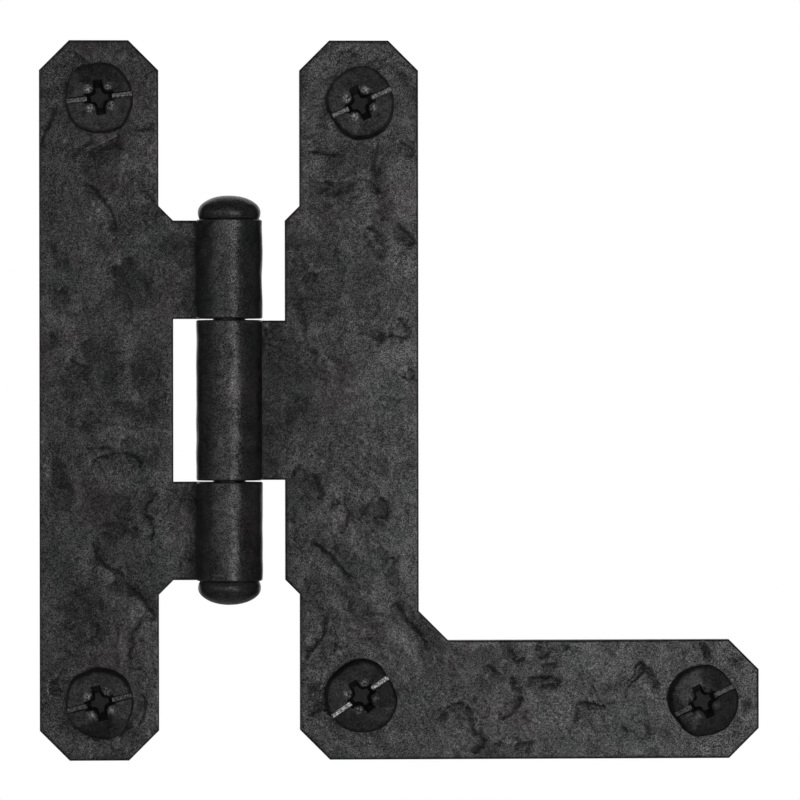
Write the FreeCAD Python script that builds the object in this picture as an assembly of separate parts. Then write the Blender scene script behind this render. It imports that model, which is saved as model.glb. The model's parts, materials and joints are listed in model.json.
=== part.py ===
import FreeCAD, Part
import math
import os

from FreeCAD import Vector

# HL cabinet hinge in blackened steel, 3 1/2 inches high, with its five screws resting in the holes.
# Seen from the front, X runs to the right, Z up, and the face looks towards -Y.
# The origin lies on the mounting plane, behind the pin's axis, at mid-height.

# Leaf blanks, cut from one gauge of sheet
HINGE_HEIGHT = 88.9
STRAP_WIDTH = 14.7
FOOT_WIDTH = 14.7
FOOT_REACH = 42.2
SHEET = 2.0
END_CUT = 3.7
FOOT_WEB = 3.65
AXIS_TO_WAIST = 6.9
WAIST_STEP = 1.8
CORNER_ROUND = 0.4
EDGE_BREAK = 0.2

# Knuckles, rolled from the sheet round the pin
BARREL_HEIGHT = 44.4
CENTRE_KNUCKLE = 19.7
KNUCKLE_GAP = 0.2
SEAM_GAP = 0.1
LIP_BREAK = 0.25

# Pin, headed at the top and riveted over at the foot
PIN_DIAMETER = 4.0
PIN_CLEARANCE = 0.05
PIN_HEAD_OVERHANG = 1.9
PIN_HEAD_UNDERCUT = 0.4
PIN_HEAD_BELLY = 0.95
PIN_HEAD_DOME = 2.05
PIN_HEAD_SHOULDER = 0.7

# Screw holes, on the middle line of each strap, and closer together up the L leaf
HOLE_CLEARANCE = 0.375
HOLE_INSET = 7.35
ANGLE_HOLE_INSET = 7.7

# Screws: number 8, with a hammered pan head and a slot across a cross recess
HEAD_WIDTH = 9.2
HEAD_UNDERCUT = 0.15
HEAD_DRAFT = 0.4
HEAD_BELLY = 0.4
HEAD_RIM = 1.45
HEAD_CROWN = 0.75
FLAT_LEAN = 14
SCREW_LENGTH = 19.0
THREAD_DIAMETER = 4.15
NECK_DIAMETER = 3.7
NECK_PAST_LEAF = 0.3
POINT_LENGTH = 4.5
SLOT_WIDTH = 0.82
SLOT_DEPTH = 0.9
RECESS_SPAN = 4.45
RECESS_WING = 1.1
RECESS_CORE = 2.7
RECESS_DEPTH = 1.9
RECESS_TAPER = 20

# How each screw rests: its offset from the middle of its hole across and up, how far its slot is
# turned anticlockwise from level, and the hammered flats round its head, each with the direction it
# faces, anticlockwise from +X, and how far it is driven in from the head's full width
SCREWS = {
    "screw_strap_top": (0.12, 0.18, 7.0, ((3, 0.6), (50, 0.35), (92, 0.3), (178, 0.4), (268, 0.2))),
    "screw_strap_bottom": (0.06, -0.12, 13.6, ((352, 0.6), (22, 0.4), (92, 0.2), (174, 0.2), (222, 0.45))),
    "screw_angle_top": (0.12, -0.17, 25.0, ((10, 0.5), (38, 0.5), (100, 0.2), (150, 0.2), (212, 0.55))),
    "screw_angle_corner": (0.19, 0.27, 35.0, ((24, 0.55), (132, 0.2), (186, 0.1), (240, 0.1), (330, 0.1))),
    "screw_angle_toe": (0.24, -0.2, 26.0, ((28, 0.65), (130, 0.1), (180, 0.1), (219, 0.4), (338, 0.4))),
}

# Sizes that follow from the ones above
half_height = HINGE_HEIGHT / 2
half_barrel = BARREL_HEIGHT / 2
half_centre = CENTRE_KNUCKLE / 2
bore_radius = PIN_DIAMETER / 2 + PIN_CLEARANCE
barrel_radius = bore_radius + SHEET
pin_head_radius = PIN_DIAMETER / 2 + PIN_HEAD_OVERHANG
strap_inner = AXIS_TO_WAIST + WAIST_STEP
strap_outer = strap_inner + STRAP_WIDTH
strap_middle = strap_inner + STRAP_WIDTH / 2
toe = strap_outer + FOOT_REACH
foot_top = FOOT_WIDTH - half_height
foot_middle = FOOT_WIDTH / 2 - half_height
notch_edge = half_centre + KNUCKLE_GAP
edge_break = min(EDGE_BREAK, SHEET / 3, CORNER_ROUND / 2)
lip_break = min(LIP_BREAK, SHEET / 3)
hole_radius = THREAD_DIAMETER / 2 + HOLE_CLEARANCE
neck_length = SHEET + NECK_PAST_LEAF
head_height = HEAD_RIM + HEAD_CROWN

STRAP = -1
ANGLE = 1

TINY = 1e-6


def rounded_wire(corners):
    """Closed wire on the mounting plane through (x, z, radius) corners, each rounded to its radius."""
    points = [Vector(x, 0, z) for x, z, _ in corners]
    count = len(points)
    starts = []
    ends = []
    arcs = []
    for i, (_, _, radius) in enumerate(corners):
        here = points[i]
        back = (points[i - 1] - here).normalize()
        on = (points[(i + 1) % count] - here).normalize()
        half_angle = back.getAngle(on) / 2
        reach = radius / math.tan(half_angle)
        start = here + back * reach
        end = here + on * reach
        starts.append(start)
        ends.append(end)
        if radius > 0:
            to_centre = (back + on).normalize()
            middle = here + to_centre * (radius / math.sin(half_angle) - radius)
            arcs.append(Part.Arc(start, middle, end).toShape())
        else:
            arcs.append(None)
    edges = []
    for i in range(count):
        if arcs[i] is not None:
            edges.append(arcs[i])
        edges.append(Part.LineSegment(ends[i], starts[(i + 1) % count]).toShape())
    return Part.Wire(edges)


def leaf_corners(side, knuckles, footed):
    """Corners of a flat leaf, from its top end outwards and round; its tabs stop on the pin's axis."""
    outline = [
        (strap_inner, half_height - END_CUT),
        (strap_inner + END_CUT, half_height),
        (strap_outer - END_CUT, half_height),
        (strap_outer, half_height - END_CUT),
    ]
    if footed:
        outline += [
            (strap_outer, foot_top + FOOT_WEB),
            (strap_outer + FOOT_WEB, foot_top),
            (toe - END_CUT, foot_top),
            (toe, foot_top - END_CUT),
            (toe, END_CUT - half_height),
            (toe - END_CUT, -half_height),
        ]
    else:
        outline += [
            (strap_outer, END_CUT - half_height),
            (strap_outer - END_CUT, -half_height),
        ]
    outline += [
        (strap_inner + END_CUT, -half_height),
        (strap_inner, END_CUT - half_height),
        (strap_inner, -half_barrel - WAIST_STEP),
        (AXIS_TO_WAIST, -half_barrel),
    ]
    for low, high in knuckles:
        outline += [(AXIS_TO_WAIST, low), (0, low), (0, high), (AXIS_TO_WAIST, high)]
    outline += [
        (AXIS_TO_WAIST, half_barrel),
        (strap_inner, half_barrel + WAIST_STEP),
    ]
    corners = []
    for x, z in outline:
        if corners and abs(corners[-1][0] - side * x) < TINY and abs(corners[-1][1] - z) < TINY:
            continue
        corners.append((side * x, z, 0 if x == 0 else CORNER_ROUND))
    return corners


def on_front(edge):
    """True for an edge that lies wholly in the leaf's front face, but isn't the end of a tab."""
    box = edge.BoundBox
    in_face = abs(box.YMin + SHEET) < TINY and abs(box.YMax + SHEET) < TINY
    tab_end = abs(box.XMin) < TINY and abs(box.XMax) < TINY
    return in_face and not tab_end


def rolled_eye(side, low, high):
    """One knuckle: the sheet leaves the mounting plane, goes round the pin and stops at the leaf's face."""
    lip = math.asin((bore_radius - SEAM_GAP) / barrel_radius)
    sweep = 1.5 * math.pi + lip

    def on_circle(radius, turn):
        """Point at a turn from the mounting plane, going round by the far side and the front."""
        x = -side * radius * math.sin(turn)
        y = radius * math.cos(turn) - barrel_radius
        return Vector(x, y, low)

    outer = [on_circle(barrel_radius, sweep * share) for share in (0, 0.5, 1)]
    inner = [on_circle(bore_radius, sweep * share) for share in (1, 0.5, 0)]
    section = Part.Wire([
        Part.Arc(*outer).toShape(),
        Part.LineSegment(outer[2], inner[0]).toShape(),
        Part.Arc(*inner).toShape(),
        Part.LineSegment(inner[2], outer[0]).toShape(),
    ])
    eye = Part.Face(section).extrude(Vector(0, 0, high - low))
    end_edges = [
        edge
        for edge in eye.Edges
        if isinstance(edge.Curve, Part.Circle) and abs(edge.Curve.Radius - barrel_radius) < TINY
    ]
    return eye.makeChamfer(lip_break, end_edges)


def screw_hole(x, z):
    return Part.makeCylinder(hole_radius, SHEET * 3, Vector(x, SHEET, z), Vector(0, -1, 0))


def leaf(side, knuckles, footed, holes):
    """A leaf in one piece: the flat blank with broken front edges, its rolled eyes and its holes."""
    wire = rounded_wire(leaf_corners(side, knuckles, footed))
    blank = Part.Face(wire).extrude(Vector(0, -SHEET, 0))
    blank = blank.makeChamfer(edge_break, [edge for edge in blank.Edges if on_front(edge)])
    eyes = [rolled_eye(side, low, high) for low, high in knuckles]
    whole = blank.fuse(eyes)
    whole = whole.cut([screw_hole(x, z) for x, z in holes])
    return whole.removeSplitter()


def pin_head(up):
    """The half section's edges for one head, from the shaft over the seat and belly to the crown."""
    shaft = PIN_DIAMETER / 2
    seat = pin_head_radius - PIN_HEAD_UNDERCUT
    shoulder = PIN_HEAD_SHOULDER * min(PIN_HEAD_DOME, pin_head_radius)
    inset = pin_head_radius - shoulder
    crown = (inset**2 + PIN_HEAD_DOME**2 - shoulder**2) / (2 * (PIN_HEAD_DOME - shoulder))
    top = PIN_HEAD_BELLY + PIN_HEAD_DOME
    turn = math.asin(inset / (crown - shoulder))

    def at(x, height):
        return Vector(x, 0, up * (half_barrel + height))

    def on_shoulder(angle):
        return at(inset + shoulder * math.sin(angle), PIN_HEAD_BELLY + shoulder * math.cos(angle))

    def on_crown(angle):
        return at(crown * math.sin(angle), top - crown * (1 - math.cos(angle)))

    quarter = math.pi / 2
    eighth = quarter / 2
    under = at(seat + PIN_HEAD_UNDERCUT * math.sin(eighth), PIN_HEAD_BELLY * (1 - math.cos(eighth)))
    return [
        Part.LineSegment(at(shaft, 0), at(seat, 0)).toShape(),
        Part.Arc(at(seat, 0), under, on_shoulder(quarter)).toShape(),
        Part.Arc(on_shoulder(quarter), on_shoulder((turn + quarter) / 2), on_shoulder(turn)).toShape(),
        Part.Arc(on_shoulder(turn), on_crown(turn / 2), at(0, top)).toShape(),
    ]


def hinge_pin():
    """The pin and its two domed heads, turned as one piece about the hinge's axis."""
    shaft = PIN_DIAMETER / 2
    crown = half_barrel + PIN_HEAD_BELLY + PIN_HEAD_DOME
    edges = [
        *pin_head(1),
        *pin_head(-1),
        Part.LineSegment(Vector(shaft, 0, -half_barrel), Vector(shaft, 0, half_barrel)).toShape(),
        Part.LineSegment(Vector(0, 0, -crown), Vector(0, 0, crown)).toShape(),
    ]
    section = Part.Face(Part.Wire(Part.__sortEdges__(edges)))
    pin = section.revolve(Vector(0, 0, 0), Vector(0, 0, 1), 360)
    pin.translate(Vector(0, -barrel_radius, 0))
    return pin


def screw_blank():
    """Head, neck, threaded stretch and point of a screw, turned about Z, its head seated at zero."""
    neck = NECK_DIAMETER / 2
    thread = THREAD_DIAMETER / 2
    belly = HEAD_WIDTH / 2
    rim = belly - HEAD_DRAFT
    dome_radius = (rim**2 + HEAD_CROWN**2) / (2 * HEAD_CROWN)
    half_turn = math.asin(rim / dome_radius) / 2
    on_dome = Vector(
        dome_radius * math.sin(half_turn),
        0,
        head_height - dome_radius * (1 - math.cos(half_turn)),
    )
    points = [
        Vector(rim, 0, HEAD_RIM),
        Vector(belly, 0, HEAD_BELLY),
        Vector(belly - HEAD_UNDERCUT, 0, 0),
        Vector(neck, 0, 0),
        Vector(neck, 0, -neck_length),
        Vector(thread, 0, -neck_length),
        Vector(thread, 0, POINT_LENGTH - SCREW_LENGTH),
        Vector(0, 0, -SCREW_LENGTH),
        Vector(0, 0, head_height),
    ]
    edges = [Part.LineSegment(a, b).toShape() for a, b in zip(points, points[1:])]
    edges.append(Part.Arc(points[-1], on_dome, points[0]).toShape())
    return Part.Face(Part.Wire(edges)).revolve(Vector(0, 0, 0), Vector(0, 0, 1), 360)


def hammered_flat(direction, depth):
    """Block with one face leaning in over the head's side, to hammer a flat on it."""
    distance = HEAD_WIDTH / 2 - depth
    block = Part.makeBox(HEAD_WIDTH, HEAD_WIDTH * 2, head_height * 3)
    block.translate(Vector(distance, -HEAD_WIDTH, -head_height))
    block.rotate(Vector(distance, 0, HEAD_BELLY), Vector(0, 1, 0), -FLAT_LEAN)
    block.rotate(Vector(0, 0, 0), Vector(0, 0, 1), direction)
    return block


def recess_wings():
    """One pair of the cross recess's wings: a blade along X that narrows towards the bottom."""
    slope = math.tan(math.radians(RECESS_TAPER))
    top = head_height + SLOT_DEPTH
    floor = head_height - RECESS_DEPTH
    half_top = RECESS_SPAN / 2 + SLOT_DEPTH * slope
    half_floor = RECESS_SPAN / 2 - RECESS_DEPTH * slope
    corners = [(-half_top, top), (half_top, top), (half_floor, floor), (-half_floor, floor)]
    points = [Vector(x, -RECESS_WING / 2, z) for x, z in corners]
    blade = Part.Face(Part.makePolygon([*points, points[0]]))
    return blade.extrude(Vector(0, RECESS_WING, 0))


def drive():
    """What is cut from a head for the driver: the slot from rim to rim, and the cross recess."""
    slot = Part.makeBox(HEAD_WIDTH * 2, SLOT_WIDTH, head_height)
    slot.translate(Vector(-HEAD_WIDTH, -SLOT_WIDTH / 2, head_height - SLOT_DEPTH))
    across = recess_wings()
    across.rotate(Vector(0, 0, 0), Vector(0, 0, 1), 90)
    floor = Vector(0, 0, head_height - RECESS_DEPTH)
    heart = Part.makeCone(RECESS_CORE / 4, RECESS_CORE / 2, RECESS_DEPTH, floor)
    return slot.fuse([recess_wings(), across, heart])


def screw(x, z, slot_turn, flats):
    """A screw on the axis through (x, z), its head seated on the leaf's front face."""
    cutter = drive()
    cutter.rotate(Vector(0, 0, 0), Vector(0, 0, 1), slot_turn)
    body = screw_blank().cut([hammered_flat(direction, depth) for direction, depth in flats])
    body = body.cut(cutter)
    body.rotate(Vector(0, 0, 0), Vector(1, 0, 0), 90)
    body.translate(Vector(x, -SHEET, z))
    return body


def build():
    strap_knuckles = [(-half_barrel, -notch_edge), (notch_edge, half_barrel)]
    angle_knuckles = [(-half_centre, half_centre)]
    upper = half_height - HOLE_INSET
    angle_upper = half_height - ANGLE_HOLE_INSET
    strap_holes = {
        "screw_strap_top": (STRAP * strap_middle, upper),
        "screw_strap_bottom": (STRAP * strap_middle, -upper),
    }
    angle_holes = {
        "screw_angle_top": (ANGLE * strap_middle, angle_upper),
        "screw_angle_corner": (ANGLE * strap_middle, -angle_upper),
        "screw_angle_toe": (ANGLE * (toe - HOLE_INSET), foot_middle),
    }
    parts = {
        "strap_leaf": leaf(STRAP, strap_knuckles, False, strap_holes.values()),
        "angle_leaf": leaf(ANGLE, angle_knuckles, True, angle_holes.values()),
        "hinge_pin": hinge_pin(),
    }
    for name, (x, z) in {**strap_holes, **angle_holes}.items():
        across, up, slot_turn, flats = SCREWS[name]
        parts[name] = screw(x + across, z + up, slot_turn, flats)
    return parts


def main():
    os.makedirs("parts", exist_ok=True)
    for name, shape in build().items():
        shape.exportStep(f"parts/{name}.step")
        print(name, "valid", shape.isValid(), "solids", len(shape.Solids), "volume", round(shape.Volume, 2))


main()
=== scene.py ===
import json
import math

import bmesh
import bpy
import numpy as np
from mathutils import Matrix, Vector, noise


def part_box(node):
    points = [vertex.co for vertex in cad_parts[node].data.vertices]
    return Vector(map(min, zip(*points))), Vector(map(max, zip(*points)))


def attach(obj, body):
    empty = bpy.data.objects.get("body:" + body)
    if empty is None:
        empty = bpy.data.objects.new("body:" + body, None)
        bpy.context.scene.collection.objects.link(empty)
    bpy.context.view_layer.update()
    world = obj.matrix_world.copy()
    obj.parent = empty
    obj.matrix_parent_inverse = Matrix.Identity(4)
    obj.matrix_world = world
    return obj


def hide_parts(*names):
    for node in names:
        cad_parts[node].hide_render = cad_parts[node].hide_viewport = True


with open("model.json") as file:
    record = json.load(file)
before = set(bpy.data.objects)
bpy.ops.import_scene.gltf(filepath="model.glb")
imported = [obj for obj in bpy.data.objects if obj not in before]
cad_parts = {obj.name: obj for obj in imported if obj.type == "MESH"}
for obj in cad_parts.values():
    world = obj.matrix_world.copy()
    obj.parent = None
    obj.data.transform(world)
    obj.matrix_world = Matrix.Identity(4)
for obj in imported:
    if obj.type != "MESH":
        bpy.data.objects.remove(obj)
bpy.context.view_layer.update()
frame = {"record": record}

# A black HL cabinet hinge with a forged face, laid open and seen face on. Pieces are in metres, in the
# frame of the solids: X to the right, Z up along the pin, and the face towards -Y. Forging marks and
# dents are worked out in millimetres.
MM = 0.001

strap_low, strap_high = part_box("strap_leaf")
angle_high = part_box("angle_leaf")[1]
pin_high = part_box("hinge_pin")[1]

# Leaf blanks, in the sizes of the solids
HALF_HEIGHT = strap_high.z
OUTER_EDGE = -strap_low.x
TOE = angle_high.x
STRAP_WIDTH = 14.7 * MM
FOOT_WIDTH = 14.7 * MM
SHEET = 2.0 * MM
END_CUT = 3.7 * MM
FOOT_WEB = 3.65 * MM
WAIST_STEP = 1.8 * MM
HOLE_RADIUS = 2.45 * MM
HOLE_INSET = 7.35 * MM
ANGLE_HOLE_INSET = 7.7 * MM

# Barrel and pin
BARREL_RADIUS = -strap_low.y / 2
HALF_BARREL = 22.2 * MM
OUTER_KNUCKLE_FROM = 10.05 * MM
HALF_CENTRE_KNUCKLE = 9.85 * MM
SEAM_GAP = 0.1 * MM
PIN_RADIUS = 2.0 * MM
PIN_HEAD_RADIUS = pin_high.x
PIN_HEAD_BELLY = 0.95 * MM
PIN_HEAD_UNDERCUT = 0.4 * MM

# Fineness of the forged faces, and the roundings of the sheared edges
CELL = 0.19 * MM
HOLE_SNAP = 0.8 * CELL
HOLE_GRASP = 2 * CELL
FRONT_RIM = 0.28 * MM
BACK_RIM = 0.15 * MM
RIM_TURNS = (30, 60, 90)
SIDE_ROWS = 4
KNUCKLE_STEPS = 92
SMOOTH_BELOW = math.radians(38)

# How near two places are when they count as one, in tests, in cuts and where faces are picked by
# their place, and the digits that are kept of a grid line's place
SAME = 0.001 * MM
WELD = 0.0001 * MM
HAIR = 0.01 * MM
STOP_DIGITS = 9

inner_edge = OUTER_EDGE - STRAP_WIDTH
waist = inner_edge - WAIST_STEP
shoulder = HALF_BARREL + WAIST_STEP
foot_top = -HALF_HEIGHT + FOOT_WIDTH
hole_height = HALF_HEIGHT - HOLE_INSET
angle_hole_height = HALF_HEIGHT - ANGLE_HOLE_INSET
strap_middle = OUTER_EDGE - HOLE_INSET

# The photograph's scale in millimetres a pixel, its middle in pixels and where that lies across the
# hinge, for the forging marks that are placed from it
PIXEL = 0.1236
PHOTO_MIDDLE = 400
MIDDLE_X = 21.1
PHOTO_ROLL = math.radians(0.1)


def on_hinge(across, down):
    """The place on the hinge's face, in millimetres, of a pixel of the photograph."""
    x = (across - PHOTO_MIDDLE) * PIXEL
    z = (PHOTO_MIDDLE - down) * PIXEL
    level_x = x * math.cos(PHOTO_ROLL) + z * math.sin(PHOTO_ROLL)
    level_z = z * math.cos(PHOTO_ROLL) - x * math.sin(PHOTO_ROLL)
    return level_x + MIDDLE_X, level_z


# Forging marks, each as its kind, its depth and reach in millimetres, and its line in pixels of the
# photograph. A fold is a ledge whose low side lies to the right of the line's direction, a crease is
# a narrow groove, and a hollow is a closed dent.
STRAP_MARKS = {
    "crease_beside_top_screw": ("crease", 0.10, 0.30, [(131, 68), (140, 80), (147, 85)]),
    "strip_down_left_edge": ("fold", 0.12, 1.4, [(57, 108), (52, 122), (45, 137), (43, 150)]),
    "flat_flake": ("hollow", 0.10, 0.5, [(68, 123), (96, 133), (93, 142), (81, 153), (72, 160), (64, 148)]),
    "ledge_under_flake": ("fold", 0.14, 2.2, [(86, 153), (104, 146), (122, 135)]),
    "crease_at_right_edge": ("crease", 0.12, 0.28, [(127, 128), (140, 130), (147, 127), (156, 127)]),
    "upper_crescent": ("fold", 0.18, 1.1, [
        (83, 184), (91, 189), (99, 194), (105, 203), (113, 213), (116, 226), (114, 237),
    ]),
    "rising_ridge": ("fold", 0.14, 2.0, [(108, 271), (120, 263), (133, 257)]),
    "short_nick": ("crease", 0.08, 0.25, [(158, 244), (160, 253)]),
    "small_arc": ("crease", 0.09, 0.28, [(59, 293), (62, 289), (66, 288), (69, 290)]),
    "left_dent": ("hollow", 0.10, 0.7, [(47, 333), (54, 332), (55, 344), (48, 346)]),
    "left_ledge": ("fold", 0.13, 1.8, [(68, 358), (80, 366), (94, 369)]),
    "right_curve": ("crease", 0.10, 0.30, [(153, 359), (159, 372), (158, 384)]),
    "outer_arch": ("fold", 0.10, 1.4, [(82, 454), (91, 449), (107, 449), (117, 451)]),
    "inner_arch": ("fold", 0.15, 2.0, [
        (86, 472), (96, 459), (107, 455), (130, 454), (140, 460), (142, 468), (138, 476),
    ]),
    "arch_spur": ("crease", 0.10, 0.30, [(121, 447), (123, 440), (131, 435)]),
    "left_oval": ("hollow", 0.12, 1.0, [(47, 462), (58, 457), (68, 466), (69, 484), (60, 495), (47, 490)]),
    "tab_snake": ("fold", 0.20, 1.7, [
        (158, 493), (147, 502), (145, 513), (153, 523), (154, 532), (149, 543),
    ]),
    "pit": ("hollow", 0.10, 0.5, [(133, 526), (139, 527), (139, 532), (133, 531)]),
    "lower_arc": ("fold", 0.13, 1.8, [(94, 542), (96, 555), (104, 565), (117, 572), (127, 579)]),
    "flat_arc": ("crease", 0.08, 0.30, [(104, 585), (119, 579)]),
    "long_ledge": ("fold", 0.15, 2.2, [(127, 583), (140, 596), (147, 604), (154, 616), (156, 622)]),
    "tall_arch": ("fold", 0.13, 1.6, [
        (155, 621), (147, 617), (141, 620), (136, 629), (132, 640), (131, 657), (131, 672),
    ]),
    "low_dimple": ("hollow", 0.10, 0.8, [(92, 622), (99, 621), (100, 634), (93, 636)]),
    "screw_flake": ("fold", 0.15, 0.9, [
        (62, 697), (55, 694), (50, 687), (52, 682), (59, 678), (60, 673), (67, 667),
    ]),
    "low_crescent": ("fold", 0.14, 1.4, [(140, 693), (146, 700), (144, 715), (137, 728)]),
    "foot_crease": ("crease", 0.10, 0.30, [(123, 713), (122, 735), (119, 750)]),
    "top_flat": ("fold", 0.10, 2.0, [(70, 52), (84, 60), (90, 70)]),
    "waist_ledge": ("fold", 0.11, 1.8, [(140, 180), (150, 200), (166, 214)]),
}
ANGLE_MARKS = {
    "nick_above_screw": ("crease", 0.14, 0.26, [(347, 46), (351, 50), (355, 56)]),
    "shallow_nick": ("crease", 0.07, 0.30, [(337, 50), (343, 55)]),
    "dent_right_of_screw": ("hollow", 0.09, 0.9, [(395, 66), (408, 73), (409, 82), (399, 80)]),
    "small_wave": ("crease", 0.08, 0.30, [(307, 137), (314, 133), (324, 134)]),
    "left_flake_top": ("fold", 0.12, 2.6, [(335, 158), (330, 154), (321, 152), (312, 152), (306, 150)]),
    "left_flake_foot": ("fold", 0.15, 1.6, [
        (303, 181), (309, 180), (316, 182), (326, 184), (333, 186), (342, 185), (350, 183), (357, 186),
    ]),
    "flake_tail": ("crease", 0.09, 0.35, [(357, 187), (357, 192), (353, 198), (346, 202)]),
    "tall_groove": ("crease", 0.19, 0.45, [
        (379, 137), (376, 148), (374, 160), (373, 172), (375, 181), (377, 190), (376, 197),
    ]),
    "groove_foot": ("fold", 0.09, 1.6, [(381, 222), (380, 214), (379, 205), (377, 197)]),
    "right_wave": ("fold", 0.12, 1.2, [(397, 142), (404, 145), (409, 149), (416, 151)]),
    "horseshoe_left": ("crease", 0.14, 0.36, [
        (367, 229), (368, 240), (371, 248), (375, 254), (381, 256), (386, 255),
    ]),
    "horseshoe_right": ("crease", 0.17, 0.36, [
        (366, 229), (371, 226), (376, 231), (379, 239), (384, 245), (388, 252),
    ]),
    "right_slope": ("fold", 0.15, 2.0, [(393, 223), (402, 229), (409, 234), (414, 240), (417, 246)]),
    "left_rise": ("fold", 0.10, 2.0, [(299, 281), (308, 276), (317, 273)]),
    "right_knot": ("fold", 0.13, 1.4, [(395, 316), (400, 320), (405, 327), (408, 334), (410, 340)]),
    "middle_wave": ("fold", 0.13, 1.6, [
        (383, 341), (378, 339), (374, 335), (369, 333), (361, 334), (356, 336),
    ]),
    "right_wave_low": ("crease", 0.10, 0.34, [(387, 333), (394, 335), (400, 336), (407, 338)]),
    "edge_loop": ("hollow", 0.11, 0.45, [(406, 366), (412, 370), (414, 380), (407, 381), (399, 375)]),
    "faint_rise": ("fold", 0.08, 2.0, [(295, 430), (305, 426), (316, 422)]),
    "faint_line": ("crease", 0.07, 0.34, [(314, 446), (326, 445), (336, 442), (342, 440)]),
    "small_ring": ("crease", 0.09, 0.28, [
        (293, 476), (293, 471), (298, 467), (304, 471), (305, 479), (298, 482),
    ]),
    "dark_flat": ("hollow", 0.12, 0.9, [
        (308, 475), (319, 473), (322, 486), (325, 497), (314, 502), (307, 492),
    ]),
    "flake_lip": ("fold", 0.13, 1.3, [(347, 504), (340, 503), (334, 505), (329, 510)]),
    "short_ledge": ("fold", 0.11, 1.3, [(349, 509), (348, 520), (344, 529), (339, 536)]),
    "square_dent_edge": ("fold", 0.16, 2.2, [(377, 496), (383, 498), (387, 505), (388, 513), (386, 522)]),
    "long_diagonal": ("fold", 0.17, 1.5, [
        (310, 538), (317, 547), (327, 553), (334, 561), (340, 567), (347, 575), (353, 581),
    ]),
    "diagonal_branch": ("crease", 0.08, 0.30, [(329, 548), (339, 551)]),
    "low_hook": ("crease", 0.10, 0.34, [(391, 557), (394, 566), (386, 572)]),
    "edge_nick": ("crease", 0.09, 0.30, [(404, 556), (411, 557), (413, 563)]),
    "bowl_edge": ("fold", 0.06, 2.0, [
        (388, 615), (374, 613), (357, 615), (350, 612), (346, 602), (340, 590),
    ]),
    "web_edge": ("fold", 0.10, 2.4, [
        (394, 598), (398, 606), (404, 617), (412, 625), (419, 632), (424, 641), (427, 652),
    ]),
    "left_sweep": ("fold", 0.17, 1.2, [
        (327, 618), (325, 629), (322, 637), (314, 647), (308, 654), (302, 660),
    ]),
    "dent_above_corner": ("hollow", 0.08, 0.7, [(329, 641), (338, 643), (341, 649), (331, 649)]),
    "faint_curl": ("crease", 0.09, 0.30, [(307, 683), (311, 688), (319, 692)]),
    "beside_corner_screw": ("fold", 0.13, 1.2, [
        (334, 715), (328, 711), (321, 707), (315, 712), (311, 719),
    ]),
    "foot_fork_left": ("fold", 0.12, 1.0, [(434, 723), (441, 716), (449, 709), (459, 705), (466, 703)]),
    "foot_fork_right": ("crease", 0.15, 0.34, [(467, 705), (469, 715), (471, 724), (474, 732), (477, 740)]),
    "fork_top": ("crease", 0.10, 0.30, [(476, 697), (471, 705)]),
    "foot_bay": ("crease", 0.17, 0.32, [(507, 646), (510, 654), (514, 659), (518, 661), (526, 660)]),
    "bay_right": ("fold", 0.11, 0.9, [
        (571, 647), (566, 650), (558, 653), (549, 652), (544, 656), (536, 659),
    ]),
    "bay_under": ("crease", 0.12, 0.32, [(541, 667), (549, 666), (558, 665)]),
    "small_lens": ("hollow", 0.12, 0.35, [(536, 649), (540, 647), (543, 649), (539, 652)]),
    "top_edge_nick": ("crease", 0.12, 0.30, [(540, 641), (548, 646)]),
    "left_bay": ("fold", 0.11, 1.2, [(481, 666), (489, 666), (496, 671), (498, 679)]),
    "scribble_down": ("crease", 0.13, 0.32, [(511, 676), (513, 684), (516, 691), (523, 693)]),
    "scribble_hook": ("fold", 0.15, 1.8, [
        (523, 695), (521, 702), (516, 706), (511, 714), (504, 720), (497, 718),
    ]),
    "scribble_arc": ("fold", 0.13, 1.1, [
        (527, 683), (532, 680), (539, 678), (548, 679), (555, 680), (562, 681),
    ]),
    "scribble_low": ("crease", 0.11, 0.32, [(540, 688), (546, 685), (553, 684), (562, 685)]),
    "foot_short_line": ("crease", 0.10, 0.32, [(527, 711), (525, 718), (523, 724)]),
    "hook_top": ("fold", 0.10, 0.7, [
        (575, 705), (582, 704), (588, 704), (593, 706), (600, 708), (607, 711),
    ]),
    "hook_down": ("crease", 0.15, 0.34, [(577, 706), (578, 713), (576, 720), (572, 725)]),
    "edge_shadow": ("fold", 0.15, 1.6, [(488, 738), (485, 745), (479, 751), (472, 754)]),
    "low_nick": ("crease", 0.09, 0.30, [(491, 746), (501, 746)]),
    "low_wave": ("fold", 0.10, 1.2, [(514, 748), (519, 745), (525, 744), (531, 745)]),
    "top_nick_right": ("crease", 0.10, 0.30, [(609, 650), (612, 655), (614, 659)]),
    "green_shadow": ("hollow", 0.08, 0.9, [(599, 686), (606, 680), (613, 678), (612, 686), (603, 691)]),
    "toe_drop": ("hollow", 0.14, 0.5, [
        (636, 667), (638, 663), (643, 662), (648, 665), (645, 674), (637, 682), (627, 688), (625, 686),
        (634, 678),
    ]),
    "toe_drop_lip": ("crease", 0.13, 0.32, [(648, 667), (651, 675), (655, 681), (658, 686), (660, 691)]),
    "toe_line": ("crease", 0.13, 0.34, [(645, 722), (648, 729), (650, 736), (649, 743)]),
    "toe_fleck": ("crease", 0.09, 0.34, [(621, 732), (626, 728)]),
    "above_toe_screw": ("crease", 0.15, 0.28, [(703, 641), (705, 647), (707, 652), (711, 657), (716, 664)]),
    "toe_corner_line": ("crease", 0.09, 0.30, [(736, 661), (744, 658)]),
    "toe_right_dent": ("hollow", 0.10, 0.6, [(745, 700), (751, 704), (752, 711), (745, 712)]),
    "toe_low_line": ("crease", 0.09, 0.32, [(738, 718), (739, 726), (736, 734), (732, 739)]),
    "shadow_at_toe_screw": ("hollow", 0.09, 0.8, [
        (677, 655), (683, 650), (688, 655), (686, 665), (678, 664),
    ]),
}
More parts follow.
